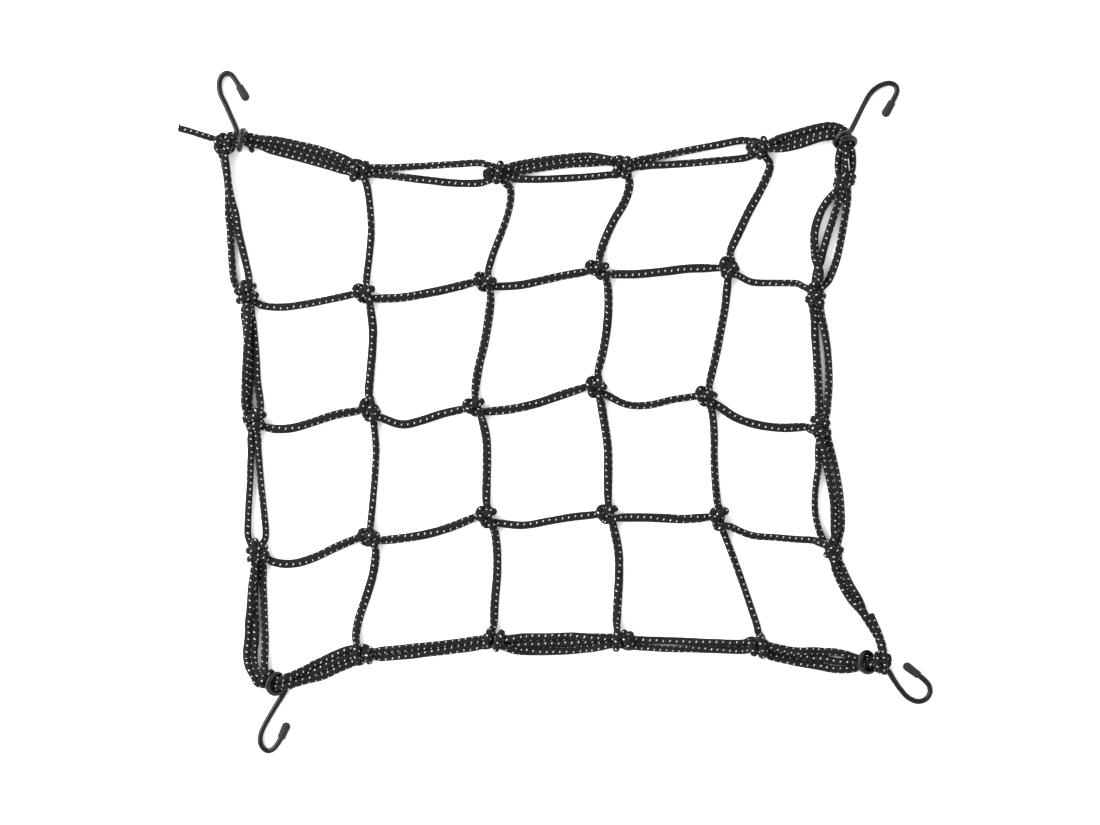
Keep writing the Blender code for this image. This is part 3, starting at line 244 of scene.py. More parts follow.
def station_points(a, b, bows, z, keep=STATIONS):
    A, B = arr(KNOTS[a]), arr(KNOTS[b])
    d = B - A
    n = arr((-d[1], d[0])) / np.linalg.norm(d)
    pts = []
    for f, o in zip(STATIONS, bows):
        if f in keep:
            p = A + d * f + n * o
            pts.append((p[0], p[1], z))
    return pts


# knots whose cord shows once more between the border strands: tip along the border, inward
TIPS = {"T2": (-6.4, 1.9), "T4": (-8.7, -0.3), "L1": (9.6, -1.6), "L2": (7.7, 0.0), "L3": (8.0, -1.3), "D3": (8.3, 1.9)}


def nearing(knot, a, b, bows):
    """Where a run passes 9.9 and 5.6 mm inward of a border knot, measured along the border from its middle."""
    u, v = (arr(k) for k in EDGE[knot[0]])
    A, B = arr(KNOTS[a]), arr(KNOTS[b])
    d = B - A
    n = arr((-d[1], d[0])) / np.linalg.norm(d)
    f = np.linspace(0.0, 1.0, 401)
    o = np.interp(f, (0.0,) + STATIONS + (1.0,), (0.0,) + tuple(bows) + (0.0,))
    Q = A + d * f[:, None] + n * o[:, None] - arr(KNOTS[knot])
    w = Q @ v
    return [float(Q[int(np.abs(w - h).argmin())] @ u) for h in (9.9, 5.6)]


def hitch(knot, a, b, bows):
    """Key points of the mesh cord tied on the border, from the mesh inward side to its end."""
    entry, near = nearing(knot, a, b, bows)
    u, v = (arr(k) for k in EDGE[knot[0]])
    K = arr(KNOTS[knot])
    (a1, o1, i1), (a2, o2, i2), over = TURNS[knot]
    s = 1.0 if a1 > a2 else -1.0
    h = 2.25
    e = max(a1 - 7.0, min(a1 + 7.0, near))
    lean = 0.4 * (a2 - a1)
    if over:
        table = [(entry, 10.2, 3.2), (0.8 * e + 0.2 * a1, i1 + 0.6, 6.4), (0.55 * e + 0.45 * a1, i1 - 3.4, 9.2),
                 (a1 + 0.4 * lean, o1 + 2.2 * h, 9.0), (a1 + 0.5 * lean, o1 + h, 5.2), (0.5 * (a1 + a2), 0.0, 2.1),
                 (a2 - 0.5 * lean, i2 - h, 5.2)]
        table += [(a2 - 0.4 * lean, i2 - 2.0 * h, 8.7), (a2, 0.0, 9.6), (a2 + 0.4 * lean, o2 + 2.0 * h, 8.7),
                  (a2 + 0.5 * lean, o2 + h, 5.0), (a2, 0.0, 2.4)]
    else:
        table = [(entry, 9.9, 2.5), (e, 5.6, 2.3), (0.45 * e + 0.55 * a1, 1.0, 2.1),
                 (a1 - 0.5 * lean, o1 + h, 5.0), (a1 - 0.4 * lean, o1 + 2.0 * h, 8.7), (a1, 0.0, 9.6),
                 (a1 + 0.4 * lean, i1 - 2.0 * h, 8.7), (a1 + 0.5 * lean, i1 - h, 5.2),
                 (0.5 * (a1 + a2), 0.0, 2.1), (a2 - 0.5 * lean, o2 + h, 5.0)]
        table += [(a2 - 0.4 * lean, o2 + 2.0 * h, 8.7), (a2, 0.0, 9.5), (a2 + 0.4 * lean, i2 - 2.0 * h, 8.7),
                  (a2 + 0.5 * lean, i2 - h, 5.0), (a2, 0.0, 2.4)]
    if knot in TIPS:
        tip, side = TIPS[knot]
        g = 1.0 if tip > 0 else -1.0
        table[-1] = (a2 + 1.2 * g, side + 0.6, 2.2)
        table += [(tip - 2.3 * g, side, 4.2), (tip - 2.9 * g, side, 7.6), (0.5 * (tip + a2), side, 8.9), (a2, side, 7.0)]
    pts = []
    for p, q, z in table:
        w = K + u * p + v * q
        pts.append((w[0], w[1], z))
    return pts


def lobes(knot):
    """The row cord's way through a knot: under its own turn, over the upright cord, behind it and out."""
    (x, y), U, V, L, front = LOBES[knot]
    K, U, ru, V, rv, L, rl = arr((x, y)), arr(U[:2]), U[2] - 2.35, arr(V[:2]), V[2] - 2.35, arr(L[:2]), L[2] - 2.35
    out = [(U + (-1.2 - 0.4 * ru, -0.7 * ru - 0.8), 2.4), (U + (0.5, -0.4 * ru - 0.4), 3.6),
           (0.5 * (U + V) + (0.2, -0.6), 8.6), (V + (rv * 0.9, 0.1), 6.4), (V + (rv * 0.7, -0.2), 3.4),
           (0.5 * (U + V) + (0.6, 0.6), 1.9), (U + (0.9, ru * 0.9), 3.0), (U + (-0.3 * ru, ru), 5.6),
           (U + (-0.95 * ru, 0.2 * ru), 7.4), (U + (-0.45 * ru, -0.9 * ru), 8.4),
           (0.5 * (U + L) + (-0.5, -0.2), 7.8), (L + (-rl, 0.3), 5.6), (L + (0.1, -rl), 4.6)]
    if front:
        out += [(L + (2.4, -0.2), 7.6), (L + (5.2, 0.6), 6.2)]
    else:
        out += [(L + (2.2, 0.0), 2.4), (L + (5.4, 0.6), 2.1)]
    pts = []
    for p, z in out:
        q = K + p
        pts.append((q[0], q[1], z))
    return pts


def at(points):
    """Points read off in the camera's frame, with a height each."""
    return [((x - 555) * PX, (411 - y) * PX, z) for x, y, z in points]


def eye_frame(name):
    x, y, hd, tilt, t0, t1, adv = EYES[name]
    h = arr((math.cos(math.radians(hd)), math.sin(math.radians(hd))))
    c, s = math.cos(math.radians(tilt)), math.sin(math.radians(tilt))
    a = arr((h[1], -h[0], 0.0))
    b = arr((h[0] * c, h[1] * c, s))
    n = np.cross(a, b)
    C = arr((x, y, EYE_R * s + WIRE_D / 2 + 0.02))
    return C, a, b, n


def hook_line(name):
    """Centre line of the wire from inside the cap to the cut end of the eye."""
    T = arr(HOOKS[name])
    d = (T[0] - T[2]) / np.linalg.norm(T[0] - T[2])
    pts = [T[2] + d * CAP_GRIP, T[2] + d * CAP_GRIP * 0.5, T[2]] + list(T[3:])
    C, a, b, n = eye_frame(name)
    t0, t1, adv = EYES[name][4:7]
    steps = int(abs(t1 - t0) / 30.0)
    for k in range(steps + 1):
        th = t0 + (t1 - t0) * k / steps
        r = math.radians(th)
        pts.append(C + EYE_R * (math.cos(r) * a + math.sin(r) * b) + n * adv * (abs(th - t0) / 360.0 - 0.15))
    if name == "top_left":
        pts += at([(250.2, 145.6, 2.0), (251.8, 150.3, 2.0)])
    return spline(pts, 1.0), T[2], d


def coil(name):
    x, y, z, ax, R, turns, rise, th0 = WRAPS[name]
    d = arr((math.cos(math.radians(ax)), math.sin(math.radians(ax)), 0.0))
    a = arr((-d[1], d[0], 0.0))
    C = arr((x, y, z))
    pts = []
    n = int(turns * 12)
    for k in range(n + 1):
        f = k / n
        th = math.radians(th0 + 360.0 * turns * f)
        pts.append(C + R * (math.cos(th) * a + arr((0, 0, math.sin(th)))) + d * rise * turns * (f - 0.5))
    return pts


# ================================================================ routes of every cord
# ---------------------------------------------------------------- corners
# how each strand runs through a corner, from its hidden end outward, in the camera's frame with a height
WAYS = {
    ("TL", "left_outer"): [(226.5, 142.5, 2.4), (225.8, 138.5, 3.4), (223.2, 135.9, 6.4), (220.8, 139.5, 8.6),
                           (219.6, 145.5, 9.0), (220.6, 151.0, 7.2), (222.8, 156.0, 4.6), (225.2, 167.0, 2.6),
                           (226.9, 176.0, 2.4)],
    ("TL", "left_inner"): [(230.0, 139.0, 2.2), (227.5, 142.5, 3.0), (225.8, 147.0, 5.6), (225.4, 152.0, 7.2),
                           (225.5, 157.0, 7.0), (226.7, 167.0, 6.8), (228.0, 176.0, 6.8)],
    ("TL", "top_outer"): [(226.0, 143.0, 2.6), (228.2, 138.5, 4.4), (231.0, 134.9, 7.0), (235.5, 135.4, 8.8),
                          (241.0, 136.7, 9.2), (250.0, 137.6, 7.0), (261.3, 139.0, 6.4), (280.0, 141.4, 6.8)],
    ("TL", "top_inner"): [(222.5, 149.0, 2.4), (228.0, 147.5, 4.4), (234.0, 144.2, 7.4), (241.0, 142.9, 8.6),
                          (250.0, 143.0, 5.6), (261.3, 144.8, 3.2), (280.0, 150.9, 2.6)],
    ("TL", "top_third_1"): [(221.0, 144.0, 2.6), (227.0, 142.0, 3.6), (234.0, 140.3, 6.0), (241.0, 139.9, 6.2),
                            (250.0, 139.9, 3.6), (261.3, 142.2, 2.5), (280.0, 146.6, 2.4)],
    ("BL", "left_outer"): [(274.0, 683.5, 5.0), (268.0, 685.0, 6.0), (261.4, 683.2, 6.4), (255.6, 677.6, 6.4),
                           (250.4, 670.2, 6.6), (247.3, 662.5, 6.8), (247.3, 650.0, 6.8)],
    ("BL", "left_third_2"): [(276.0, 682.5, 3.6), (270.5, 680.5, 4.6), (265.5, 677.5, 6.2), (260.5, 672.6, 7.0),
                             (256.3, 667.0, 6.4), (253.9, 660.5, 4.6), (253.4, 650.0, 3.0)],
    ("BL", "left_inner"): [(273.0, 679.5, 3.0), (268.5, 676.3, 2.6), (265.3, 671.5, 2.8), (264.7, 664.0, 3.4),
                           (264.9, 650.0, 2.6)],
    ("BL", "bottom_inner"): [(268.0, 679.0, 4.6), (275.0, 680.8, 6.6), (281.0, 679.0, 8.8),
                             (287.5, 676.4, 8.4), (300.0, 671.0, 5.6), (312.5, 665.3, 4.4), (325.0, 659.6, 3.6)],
    ("BL", "bottom_outer"): [(269.5, 685.8, 3.6), (275.5, 686.0, 6.4), (282.0, 685.8, 8.2),
                             (289.0, 684.6, 7.6), (300.0, 682.0, 5.6), (312.5, 678.7, 4.6), (325.0, 675.0, 3.6)],
    ("BL", "bottom_third_1"): [(270.0, 682.6, 3.2), (276.0, 683.4, 4.6), (282.0, 682.4, 5.2),
                               (289.0, 680.4, 4.4), (300.0, 676.6, 2.5), (312.5, 671.9, 2.4), (325.0, 667.2, 2.4)],
    ("BR", "right_inner"): [(881.0, 660.0, 4.4), (881.6, 651.0, 6.0), (877.2, 637.5, 6.6),
                            (869.6, 625.0, 6.8), (861.6, 612.5, 6.8), (857.0, 606.0, 6.8)],
    ("BR", "right_outer"): [(883.0, 662.0, 3.0), (882.8, 652.0, 2.6), (878.6, 637.5, 2.4),
                            (871.8, 625.0, 2.4), (864.0, 612.5, 2.4), (860.8, 606.0, 2.4)],
    ("BR", "bottom_inner"): [(877.0, 662.0, 5.8), (873.0, 660.6, 6.2), (867.5, 658.6, 5.2), (861.0, 657.8, 4.6),
                             (855.0, 656.8, 3.6), (845.0, 653.9, 4.6), (832.5, 651.6, 6.4)],
    ("BR", "bottom_outer"): [(877.0, 667.0, 5.4), (873.0, 667.2, 5.8), (868.0, 667.4, 4.4), (861.0, 668.0, 3.2),
                             (855.0, 669.0, 2.4), (845.0, 669.8, 2.4), (832.5, 669.3, 2.4)],
    ("BR", "bottom_third_3"): [(877.5, 664.4, 7.0), (873.5, 664.0, 8.2), (868.0, 663.4, 7.6), (861.0, 663.1, 5.2),
                               (852.0, 662.3, 2.8), (842.0, 661.8, 2.4), (832.5, 661.0, 2.4)],
    ("TR", "top_outer"): [(827.5, 127.2, 5.4), (836.5, 126.3, 5.4), (843.5, 129.0, 5.0), (848.8, 134.5, 4.8),
                          (850.6, 141.5, 5.6), (851.0, 148.0, 6.2), (852.0, 156.0, 5.4), (852.3, 165.0, 4.8),
                          (851.6, 173.0, 4.8), (848.0, 179.5, 5.0)],
    ("TR", "top_third_3"): [(827.5, 132.0, 2.4), (835.5, 131.6, 2.6), (841.0, 134.2, 2.8), (844.2, 140.0, 4.4),
                            (845.0, 147.0, 8.2), (845.0, 156.0, 8.2), (844.8, 165.0, 8.4), (844.4, 173.0, 8.4),
                            (844.2, 179.5, 7.0)],
    ("TR", "top_inner"): [(827.5, 136.5, 5.4), (834.0, 136.6, 5.2), (838.5, 139.0, 5.0), (839.8, 144.0, 5.8),
                          (839.2, 150.0, 6.2), (838.2, 158.0, 5.4), (837.6, 166.0, 4.8), (837.8, 173.0, 4.8),
                          (841.0, 179.5, 5.0)],
    ("TW", "right_inner"): [(841.2, 183.5, 4.6), (837.4, 189.5, 4.8), (833.6, 194.0, 5.8), (828.2, 200.0, 6.6)],
    ("TW", "right_third_1"): [(844.0, 183.5, 7.0), (842.4, 191.0, 4.2), (839.2, 200.0, 2.4)],
    ("TW", "right_outer"): [(847.2, 183.5, 4.6), (848.1, 191.0, 2.6), (847.5, 200.0, 2.4)],
}
# the turns that close each corner knot
TURN_WAYS = {
    "wrap_top_left": [(225.5, 150.2, 2.3), (221.0, 151.6, 3.4), (217.2, 149.6, 5.0), (216.9, 145.5, 6.6),
                      (220.0, 142.3, 8.6), (225.0, 142.6, 9.6), (229.5, 143.5, 9.2), (231.0, 146.3, 7.6),
                      (228.6, 147.6, 5.2), (224.0, 147.5, 3.2), (221.5, 143.0, 2.2)],
    "wrap_bottom_left": [(259.0, 681.5, 2.3), (256.2, 676.0, 2.4), (257.6, 673.2, 5.0), (262.0, 672.2, 7.6),
                         (267.5, 671.8, 8.6), (272.2, 671.6, 7.2), (273.4, 674.2, 4.6), (269.5, 677.2, 2.6),
                         (263.5, 679.8, 2.2), (259.6, 679.6, 4.6), (261.6, 678.2, 8.0), (266.4, 677.2, 9.4),
                         (270.8, 677.4, 8.0), (271.4, 680.6, 5.0), (267.0, 683.8, 2.6)],
    "wrap_bottom_right": [(884.5, 656.5, 2.6), (888.0, 658.6, 4.2), (888.6, 662.4, 5.2), (886.4, 666.4, 3.6),
                          (881.5, 667.4, 2.4), (877.0, 668.6, 4.0), (875.6, 666.6, 8.6), (875.6, 661.5, 11.0),
                          (876.0, 656.0, 9.6), (877.6, 653.4, 6.0), (879.6, 656.0, 3.0)],
}
# how much of a run near a corner is given by the ways above
NEAR = {("TL", "t"): 0.35, ("TL", "l"): 0.15, ("BL", "l"): 0.15, ("BL", "b"): 0.55, ("BR", "b"): 0.35,
        ("BR", "r"): 0.55, ("TR", "t"): 0.15, ("TW", "r"): 0.15}


def routes():
    R, held = {}, set()
    for name, runs in COLUMNS.items():
        pts = list(reversed(hitch(runs[0][0], *runs[0])))
        for i, (a, b, o) in enumerate(runs):
            keep = [0.3, 0.5, 0.7]
            if i > 0:
                keep.insert(0, 0.1)
            if i < len(runs) - 1:
                keep.append(0.9)
            pts += station_points(a, b, o, CORD_D / 2, keep)
            if i < len(runs) - 1:
                (x, y), (p, q) = LOBES[b][0], UPRIGHT[b]
                pts.append((x + p, y + 3.4, 4.8))
                pts.append((x + q, y - 4.2, 5.0))
        pts += hitch(runs[-1][1], *runs[-1])
        R[name] = pts
    for name, runs in ROWS.items():
        pts = list(reversed(hitch(runs[0][0], *runs[0])))
        for i, (a, b, o) in enumerate(runs):
            pts += station_points(a, b, o, CORD_D / 2, (0.3, 0.5, 0.7))
            if i < len(runs) - 1:
                pts += lobes(b)
        pts += hitch(runs[-1][1], *runs[-1])
        R[name] = pts
    for name, runs in BORDER.items():
        role = "outer" if "outer" in name else "inner" if "inner" in name else "third"
        pts = []
        first, last = runs[0][0], runs[-1][1]
        edge_letter = {"t": "T", "r": "R", "l": "L", "b": "D"}[name[0]]
        u, v = (arr(k) for k in EDGE[edge_letter])

        def at_knot(k, toward):
            K = arr(KNOTS[k])
            if role == "third":
                p = K + u * toward * 0.6
                return (p[0], p[1], THIRD_Z)
            p = K + v * (-2.9 if role == "outer" else 2.9)
            return (p[0], p[1], BUNDLE_Z)

        if (first, name) in WAYS:
            pts += at(WAYS[(first, name)])
        else:
            pts.append(at_knot(first, 1.0 if name[0] in "tb" else -1.0))
        for i, (a, b, o, layer) in enumerate(runs):
            if a == "TR":
                pts += at(WAYS[("TR", name)])
                continue
            near_a, near_b = NEAR.get((a, name[0]), 0.0), NEAR.get((b, name[0]), 0.0)
            keep = [f for f in STATIONS if near_a < f < 1 - near_b]
            pts += station_points(a, b, o, CORD_D / 2 + 4.4 * layer, keep)
            if abs(o[4]) > 5.0 and near_b == 0.0 and b != "TW":
                # the two strands stay apart almost up to the knot
                A, B = arr(KNOTS[a]), arr(KNOTS[b])
                d = B - A
                q = B - d * 6.2 / np.linalg.norm(d) + arr((-d[1], d[0])) / np.linalg.norm(d) * 0.92 * o[4]
                pts.append((q[0], q[1], CORD_D / 2 + 3.6 * layer))
            if i < len(runs) - 1 and b != "TR":
                pts.append(at_knot(b, 0.0))
        if (last, name) in WAYS:
            pts += at(WAYS[(last, name)])[::-1]
        elif last != "TW":
            pts.append(at_knot(last, -1.0 if name[0] in "tb" else 1.0))
        R[name] = pts
    R["wrap_top_right"] = coil("wrap_top_right")
    for name, way in TURN_WAYS.items():
        R[name] = at(way)
    R["free_tail"] = TAIL
    R["cut_end"] = at(CUT_WAY)
    return R, held



# ---------------------------------------------------------------- how thick the cord looks
# middles where the cord is squeezed: x, y, full within, none beyond, radius it keeps, radius drawn
SQUEEZES = []
for _k, (_x, _y) in KNOTS.items():
    if _k in ("TL", "BL", "BR", "TR", "TW"):
        continue
    if _k[0] in "ABC":
        SQUEEZES.append((_x, _y, 6.5, 11.0, 1.85, 2.32))
    else:
        SQUEEZES.append((_x, _y, 6.5, 12.0, 1.55, 2.25))
SQUEEZES += [(w[0], w[1], 6.0, 12.0, 1.60, 2.20) for w in WRAPS.values()]
SQUEEZES += [(e[0], e[1], 5.5, 12.0, 1.50, 1.90) for e in EYES.values()]

SQUEEZES += [(-195.8, 174.0, 6.0, 15.0, 1.70, 2.35), (204.2, -137.4, 9.0, 16.0, 1.70, 2.30),
             (-166.3, -170.8, 7.0, 15.0, 1.80, 2.35), (185.8, 163.0, 5.0, 11.0, 1.80, 2.40)]

TAIL_D = 4.3
# stretches where the cord is slack and fat or pulled thin: cord, from knot, diameter
WIDTHS = [
    ("right_inner", "TW", 5.5), ("right_inner", "R1", 5.3), ("right_third_2", "R2", 4.4),
    ("left_outer", "L2", 4.5), ("left_inner", "L2", 4.5), ("bottom_outer", "D3", 4.4),
    ("top_outer", "T1", 4.6), ("top_inner", "T1", 5.1), ("right_outer", "R2", 4.6),
]

# the same for each stretch of the mesh, from the top or from the left
MESH_WIDTHS = {
    "column_cord_1": (4.8, 5.6, 4.6, 5.7), "column_cord_2": (4.8, 5.7, 5.7, 5.6),
    "column_cord_3": (5.7, 5.6, 5.7, 5.7), "column_cord_4": (5.8, 5.4, 5.0, 4.6),
    "row_cord_1": (5.0, 5.8, 5.6, 5.8, 4.6), "row_cord_2": (5.7, 5.6, 5.8, 4.9, 5.7),
    "row_cord_3": (5.6, 5.8, 5.1, 5.8, 4.6),
}


def squeeze(P):
    """How far each point is squeezed (0 to 1), the radius that keeps others off, and the drawn one."""
    k = np.zeros(len(P))
    hold = np.full(len(P), CORD_D / 2 * 0.97)
    draw = np.full(len(P), CORD_D / 2)
    for x, y, a, b, rs, rd in SQUEEZES:
        d = np.hypot(P[:, 0] - x, P[:, 1] - y)
        q = 1 - smooth01((d - a) / (b - a))
        m = q > k
        k[m] = q[m]
        hold[m] = (CORD_D / 2 * 0.97 + (rs - CORD_D / 2 * 0.97) * q)[m]
        draw[m] = (CORD_D / 2 + (rd - CORD_D / 2) * q)[m]
    return k, hold, draw


def relax(lines, wires, held, total=300):
    names = list(lines)
    P = np.vstack([lines[n] for n in names])
    cid = np.concatenate([np.full(len(lines[n]), i) for i, n in enumerate(names)])
    n_free = len(P)
    W = np.vstack([w for w in wires])
    P = np.vstack([P, W])
    cid = np.concatenate([cid, np.full(len(W), -1)])
    k, hold, draw = squeeze(P[:n_free])
    r = np.concatenate([hold, np.full(len(W), WIRE_D / 2)])
    wa = 0.16 - 0.08 * k
    wz = 0.12 * k
    A = P[:n_free].copy()
    same = cid[:n_free]
    pin = np.zeros(len(P), bool)
    o = 0
    for n in names:
        m = len(lines[n])
        if (n, 0) in held:
            pin[o:o + 4] = True
        if (n, 1) in held:
            pin[o + m - 4:o + m] = True
        o += m
    fixed = P[pin].copy()
    coils = np.isin(same, [i for i, n in enumerate(names) if n in WRAPS])
    inner = np.zeros(n_free, bool)
    inner[1:-1] = (same[1:-1] == same[:-2]) & (same[1:-1] == same[2:])
    ii = np.where(inner)[0]
    floor = draw * 1.0
    low = W[W[:, 2] < 3.2]
    for i in range(n_free):
        d2 = np.hypot(low[:, 0] - P[i, 0], low[:, 1] - P[i, 1])
        j = d2.argmin()
        if d2[j] < 6.0:
            P[i, 2] = max(P[i, 2], low[j, 2] + 3.7 - 0.35 * d2[j])
    skip = int(round(9.5 / STEP))
    for it in range(total):
        if it % 8 == 0:
            kd = kdtree.KDTree(len(P))
            for i in range(len(P)):
                kd.insert(P[i], i)
            kd.balance()
            ia, ib = [], []
            for i in range(n_free):
                for co, j, dist in kd.find_range(P[i], 6.4):
                    if j <= i and j < n_free:
                        continue
                    if (cid[j] == cid[i] and j - i < skip) or (pin[i] and pin[j]):
                        continue
                    ia.append(i)
                    ib.append(j)
            ia, ib = np.array(ia), np.array(ib)
            need = (r[ia] + r[ib])
            wire = cid[ib] < 0
        settle = it > total - 25
        if not settle:
            for _ in range(2):
                S = 0.5 * (P[ii - 1] + P[ii + 1]) - P[ii]
                P[ii] += (0.30 - 0.15 * k[ii])[:, None] * S
            P[:n_free, :2] += wa[:, None] * (A[:, :2] - P[:n_free, :2])
            P[:n_free, 2] += wz * (A[:, 2] - P[:n_free, 2])
            P[:n_free, 2] -= (0.03 + 0.03 * (1 - k)) * ~coils
        for sub in range(2):
            D = P[ia] - P[ib]
            dist = np.linalg.norm(D, axis=1)
            h = np.where(dist < need)[0]
            if len(h):
                push = (need[h] - dist[h])[:, None] * D[h] / np.maximum(dist[h], 1e-6)[:, None]
                share = np.where(wire[h], 1.0, 0.5)[:, None]
                M = np.zeros_like(P)
                cnt = np.zeros(len(P))
                np.add.at(M, ia[h], push * share)
                np.add.at(cnt, ia[h], 1)
                hh = h[~wire[h]]
                np.add.at(M, ib[hh], -push[~wire[h]] * 0.5)
                np.add.at(cnt, ib[hh], 1)
                P += M / np.maximum(cnt, 1.0)[:, None] * 0.85
            P[:n_free, 2] = np.maximum(P[:n_free, 2], floor)
            P[pin] = fixed
    out, rad, o = {}, {}, 0
    for n in names:
        m = len(lines[n])
        Q = P[o:o + m].copy()
        for _ in range(3):
            Q[1:-1] += 0.25 * (0.5 * (Q[:-2] + Q[2:]) - Q[1:-1])
        out[n] = Q
        rad[n] = draw[o:o + m].copy()
        o += m
    return out, rad


def carried(C, first=None):
    """Unit tangents and side vectors carried along the line without twist."""
    d = np.diff(C, axis=0)
    d /= np.maximum(np.linalg.norm(d, axis=1), 1e-9)[:, None]
    T = np.vstack([d[:1], d[1:] + d[:-1], d[-1:]])
    T /= np.maximum(np.linalg.norm(T, axis=1), 1e-9)[:, None]
    s = arr(first) if first is not None else np.cross(T[0], arr((0, 0, 1.0)))
    if np.linalg.norm(s) < 0.2:
        s = arr((1.0, 0, 0)) - T[0] * T[0][0]
    s = s / np.linalg.norm(s)
    S = [s]
    for i in range(1, len(C)):
        t0, t1 = T[i - 1], T[i]
        ax = np.cross(t0, t1)
        sn, cs = np.linalg.norm(ax), float(t0 @ t1)
        if sn > 1e-7:
            ax = ax / sn
            s = s * cs + np.cross(ax, s) * sn + ax * float(ax @ s) * (1 - cs)
        s = s - t1 * float(s @ t1)
        s = s / np.linalg.norm(s)
        S.append(s)
    S = np.array(S)
    return T, S, np.cross(T, S)


# ================================================================ materials
def nodes_of(name):
    m = bpy.data.materials.new(name)
    m.use_nodes = True
    nt = m.node_tree
    return m, nt, nt.nodes["Principled BSDF"]


def math_node(nt, op, a, b=None, c=None):
    n = nt.nodes.new("ShaderNodeMath")
    n.operation = op
    for i, v in enumerate((a, b, c)):
        if v is None:
            continue
        if isinstance(v, (int, float)):
            n.inputs[i].default_value = v
        else:
            nt.links.new(v, n.inputs[i])
    return n.outputs[0]


def cord_material():
    m, nt, b = nodes_of("braided_cord")
    uv = nt.nodes.new("ShaderNodeUVMap")
    uv.uv_map = "cord"
    sep = nt.nodes.new("ShaderNodeSeparateXYZ")
    nt.links.new(uv.outputs[0], sep.inputs[0])
    # u counts plaits along the cord, v counts carriers round it: two families of yarns cross
    u = math_node(nt, "MULTIPLY", sep.outputs[0], 2 * math.pi)
    v = math_node(nt, "MULTIPLY", sep.outputs[1], 2 * math.pi * 12)
    p = math_node(nt, "SINE", math_node(nt, "ADD", u, v))
    q = math_node(nt, "SINE", math_node(nt, "SUBTRACT", u, v))
    plait = math_node(nt, "MULTIPLY", math_node(nt, "ADD", p, q), 0.5)
    noise = nt.nodes.new("ShaderNodeTexNoise")
    noise.inputs["Scale"].default_value = 260.0
    noise.inputs["Detail"].default_value = 3.0
    tc = nt.nodes.new("ShaderNodeTexCoord")
    nt.links.new(tc.outputs["Object"], noise.inputs["Vector"])
    fine = nt.nodes.new("ShaderNodeTexNoise")
    fine.inputs["Scale"].default_value = 2200.0
    fine.inputs["Detail"].default_value = 2.0
    nt.links.new(tc.outputs["Object"], fine.inputs["Vector"])
    h = math_node(nt, "ADD", math_node(nt, "MULTIPLY", plait, 0.5), math_node(nt, "MULTIPLY", fine.outputs[0], 0.35))
    bump = nt.nodes.new("ShaderNodeBump")
    bump.inputs["Strength"].default_value = 0.6
    bump.inputs["Distance"].default_value = 0.00012
    nt.links.new(h, bump.inputs["Height"])
    nt.links.new(bump.outputs[0], b.inputs["Normal"])
    # base colour follows the braid's height: lighter on the plaits' crests and darker in the troughs between them,
    # which is painted shade in the crevices, plus random tone from the noise
    ramp = nt.nodes.new("ShaderNodeValToRGB")
    ramp.color_ramp.elements[0].position = 0.25
    ramp.color_ramp.elements[0].color = (0.0028, 0.0028, 0.0030, 1)
    ramp.color_ramp.elements[1].position = 0.85
    ramp.color_ramp.elements[1].color = (0.0100, 0.0100, 0.0104, 1)
    f = math_node(nt, "ADD", math_node(nt, "MULTIPLY_ADD", plait, 0.28, 0.42),
                  math_node(nt, "MULTIPLY_ADD", noise.outputs[0], 0.5, -0.2))
    nt.links.new(f, ramp.inputs[0])
    nt.links.new(ramp.outputs[0], b.inputs["Base Color"])
    b.inputs["Roughness"].default_value = 0.8
    b.inputs["Specular IOR Level"].default_value = 0.07
    b.inputs["Sheen Weight"].default_value = 0.02
    b.inputs["Sheen Roughness"].default_value = 0.5
    b.inputs["Sheen Tint"].default_value = (0.6, 0.6, 0.62, 1)
    return m


def yarn_material():
    m, nt, b = nodes_of("white_yarn")
    tc = nt.nodes.new("ShaderNodeTexCoord")
    n = nt.nodes.new("ShaderNodeTexNoise")
    n.inputs["Scale"].default_value = 900.0
    nt.links.new(tc.outputs["Object"], n.inputs["Vector"])
    ramp = nt.nodes.new("ShaderNodeValToRGB")
    ramp.color_ramp.elements[0].position = 0.3
    ramp.color_ramp.elements[0].color = (0.26, 0.26, 0.27, 1)
    ramp.color_ramp.elements[1].position = 0.7
    ramp.color_ramp.elements[1].color = (0.45, 0.45, 0.45, 1)
    nt.links.new(n.outputs[0], ramp.inputs[0])
    nt.links.new(ramp.outputs[0], b.inputs["Base Color"])
    b.inputs["Roughness"].default_value = 0.7
    return m


def wire_material():
    m, nt, b = nodes_of("dipped_wire")
    tc = nt.nodes.new("ShaderNodeTexCoord")
    n = nt.nodes.new("ShaderNodeTexNoise")
    n.inputs["Scale"].default_value = 140.0
    n.inputs["Detail"].default_value = 2.0
    nt.links.new(tc.outputs["Object"], n.inputs["Vector"])
    bump = nt.nodes.new("ShaderNodeBump")
    bump.inputs["Strength"].default_value = 0.35
    bump.inputs["Distance"].default_value = 0.00025
    nt.links.new(n.outputs[0], bump.inputs["Height"])
    nt.links.new(bump.outputs[0], b.inputs["Normal"])
    rr = math_node(nt, "MULTIPLY_ADD", n.outputs[0], 0.14, 0.16)
    nt.links.new(rr, b.inputs["Roughness"])
    b.inputs["Base Color"].default_value = (0.002, 0.002, 0.0022, 1)
    b.inputs["Specular IOR Level"].default_value = 0.20
    return m


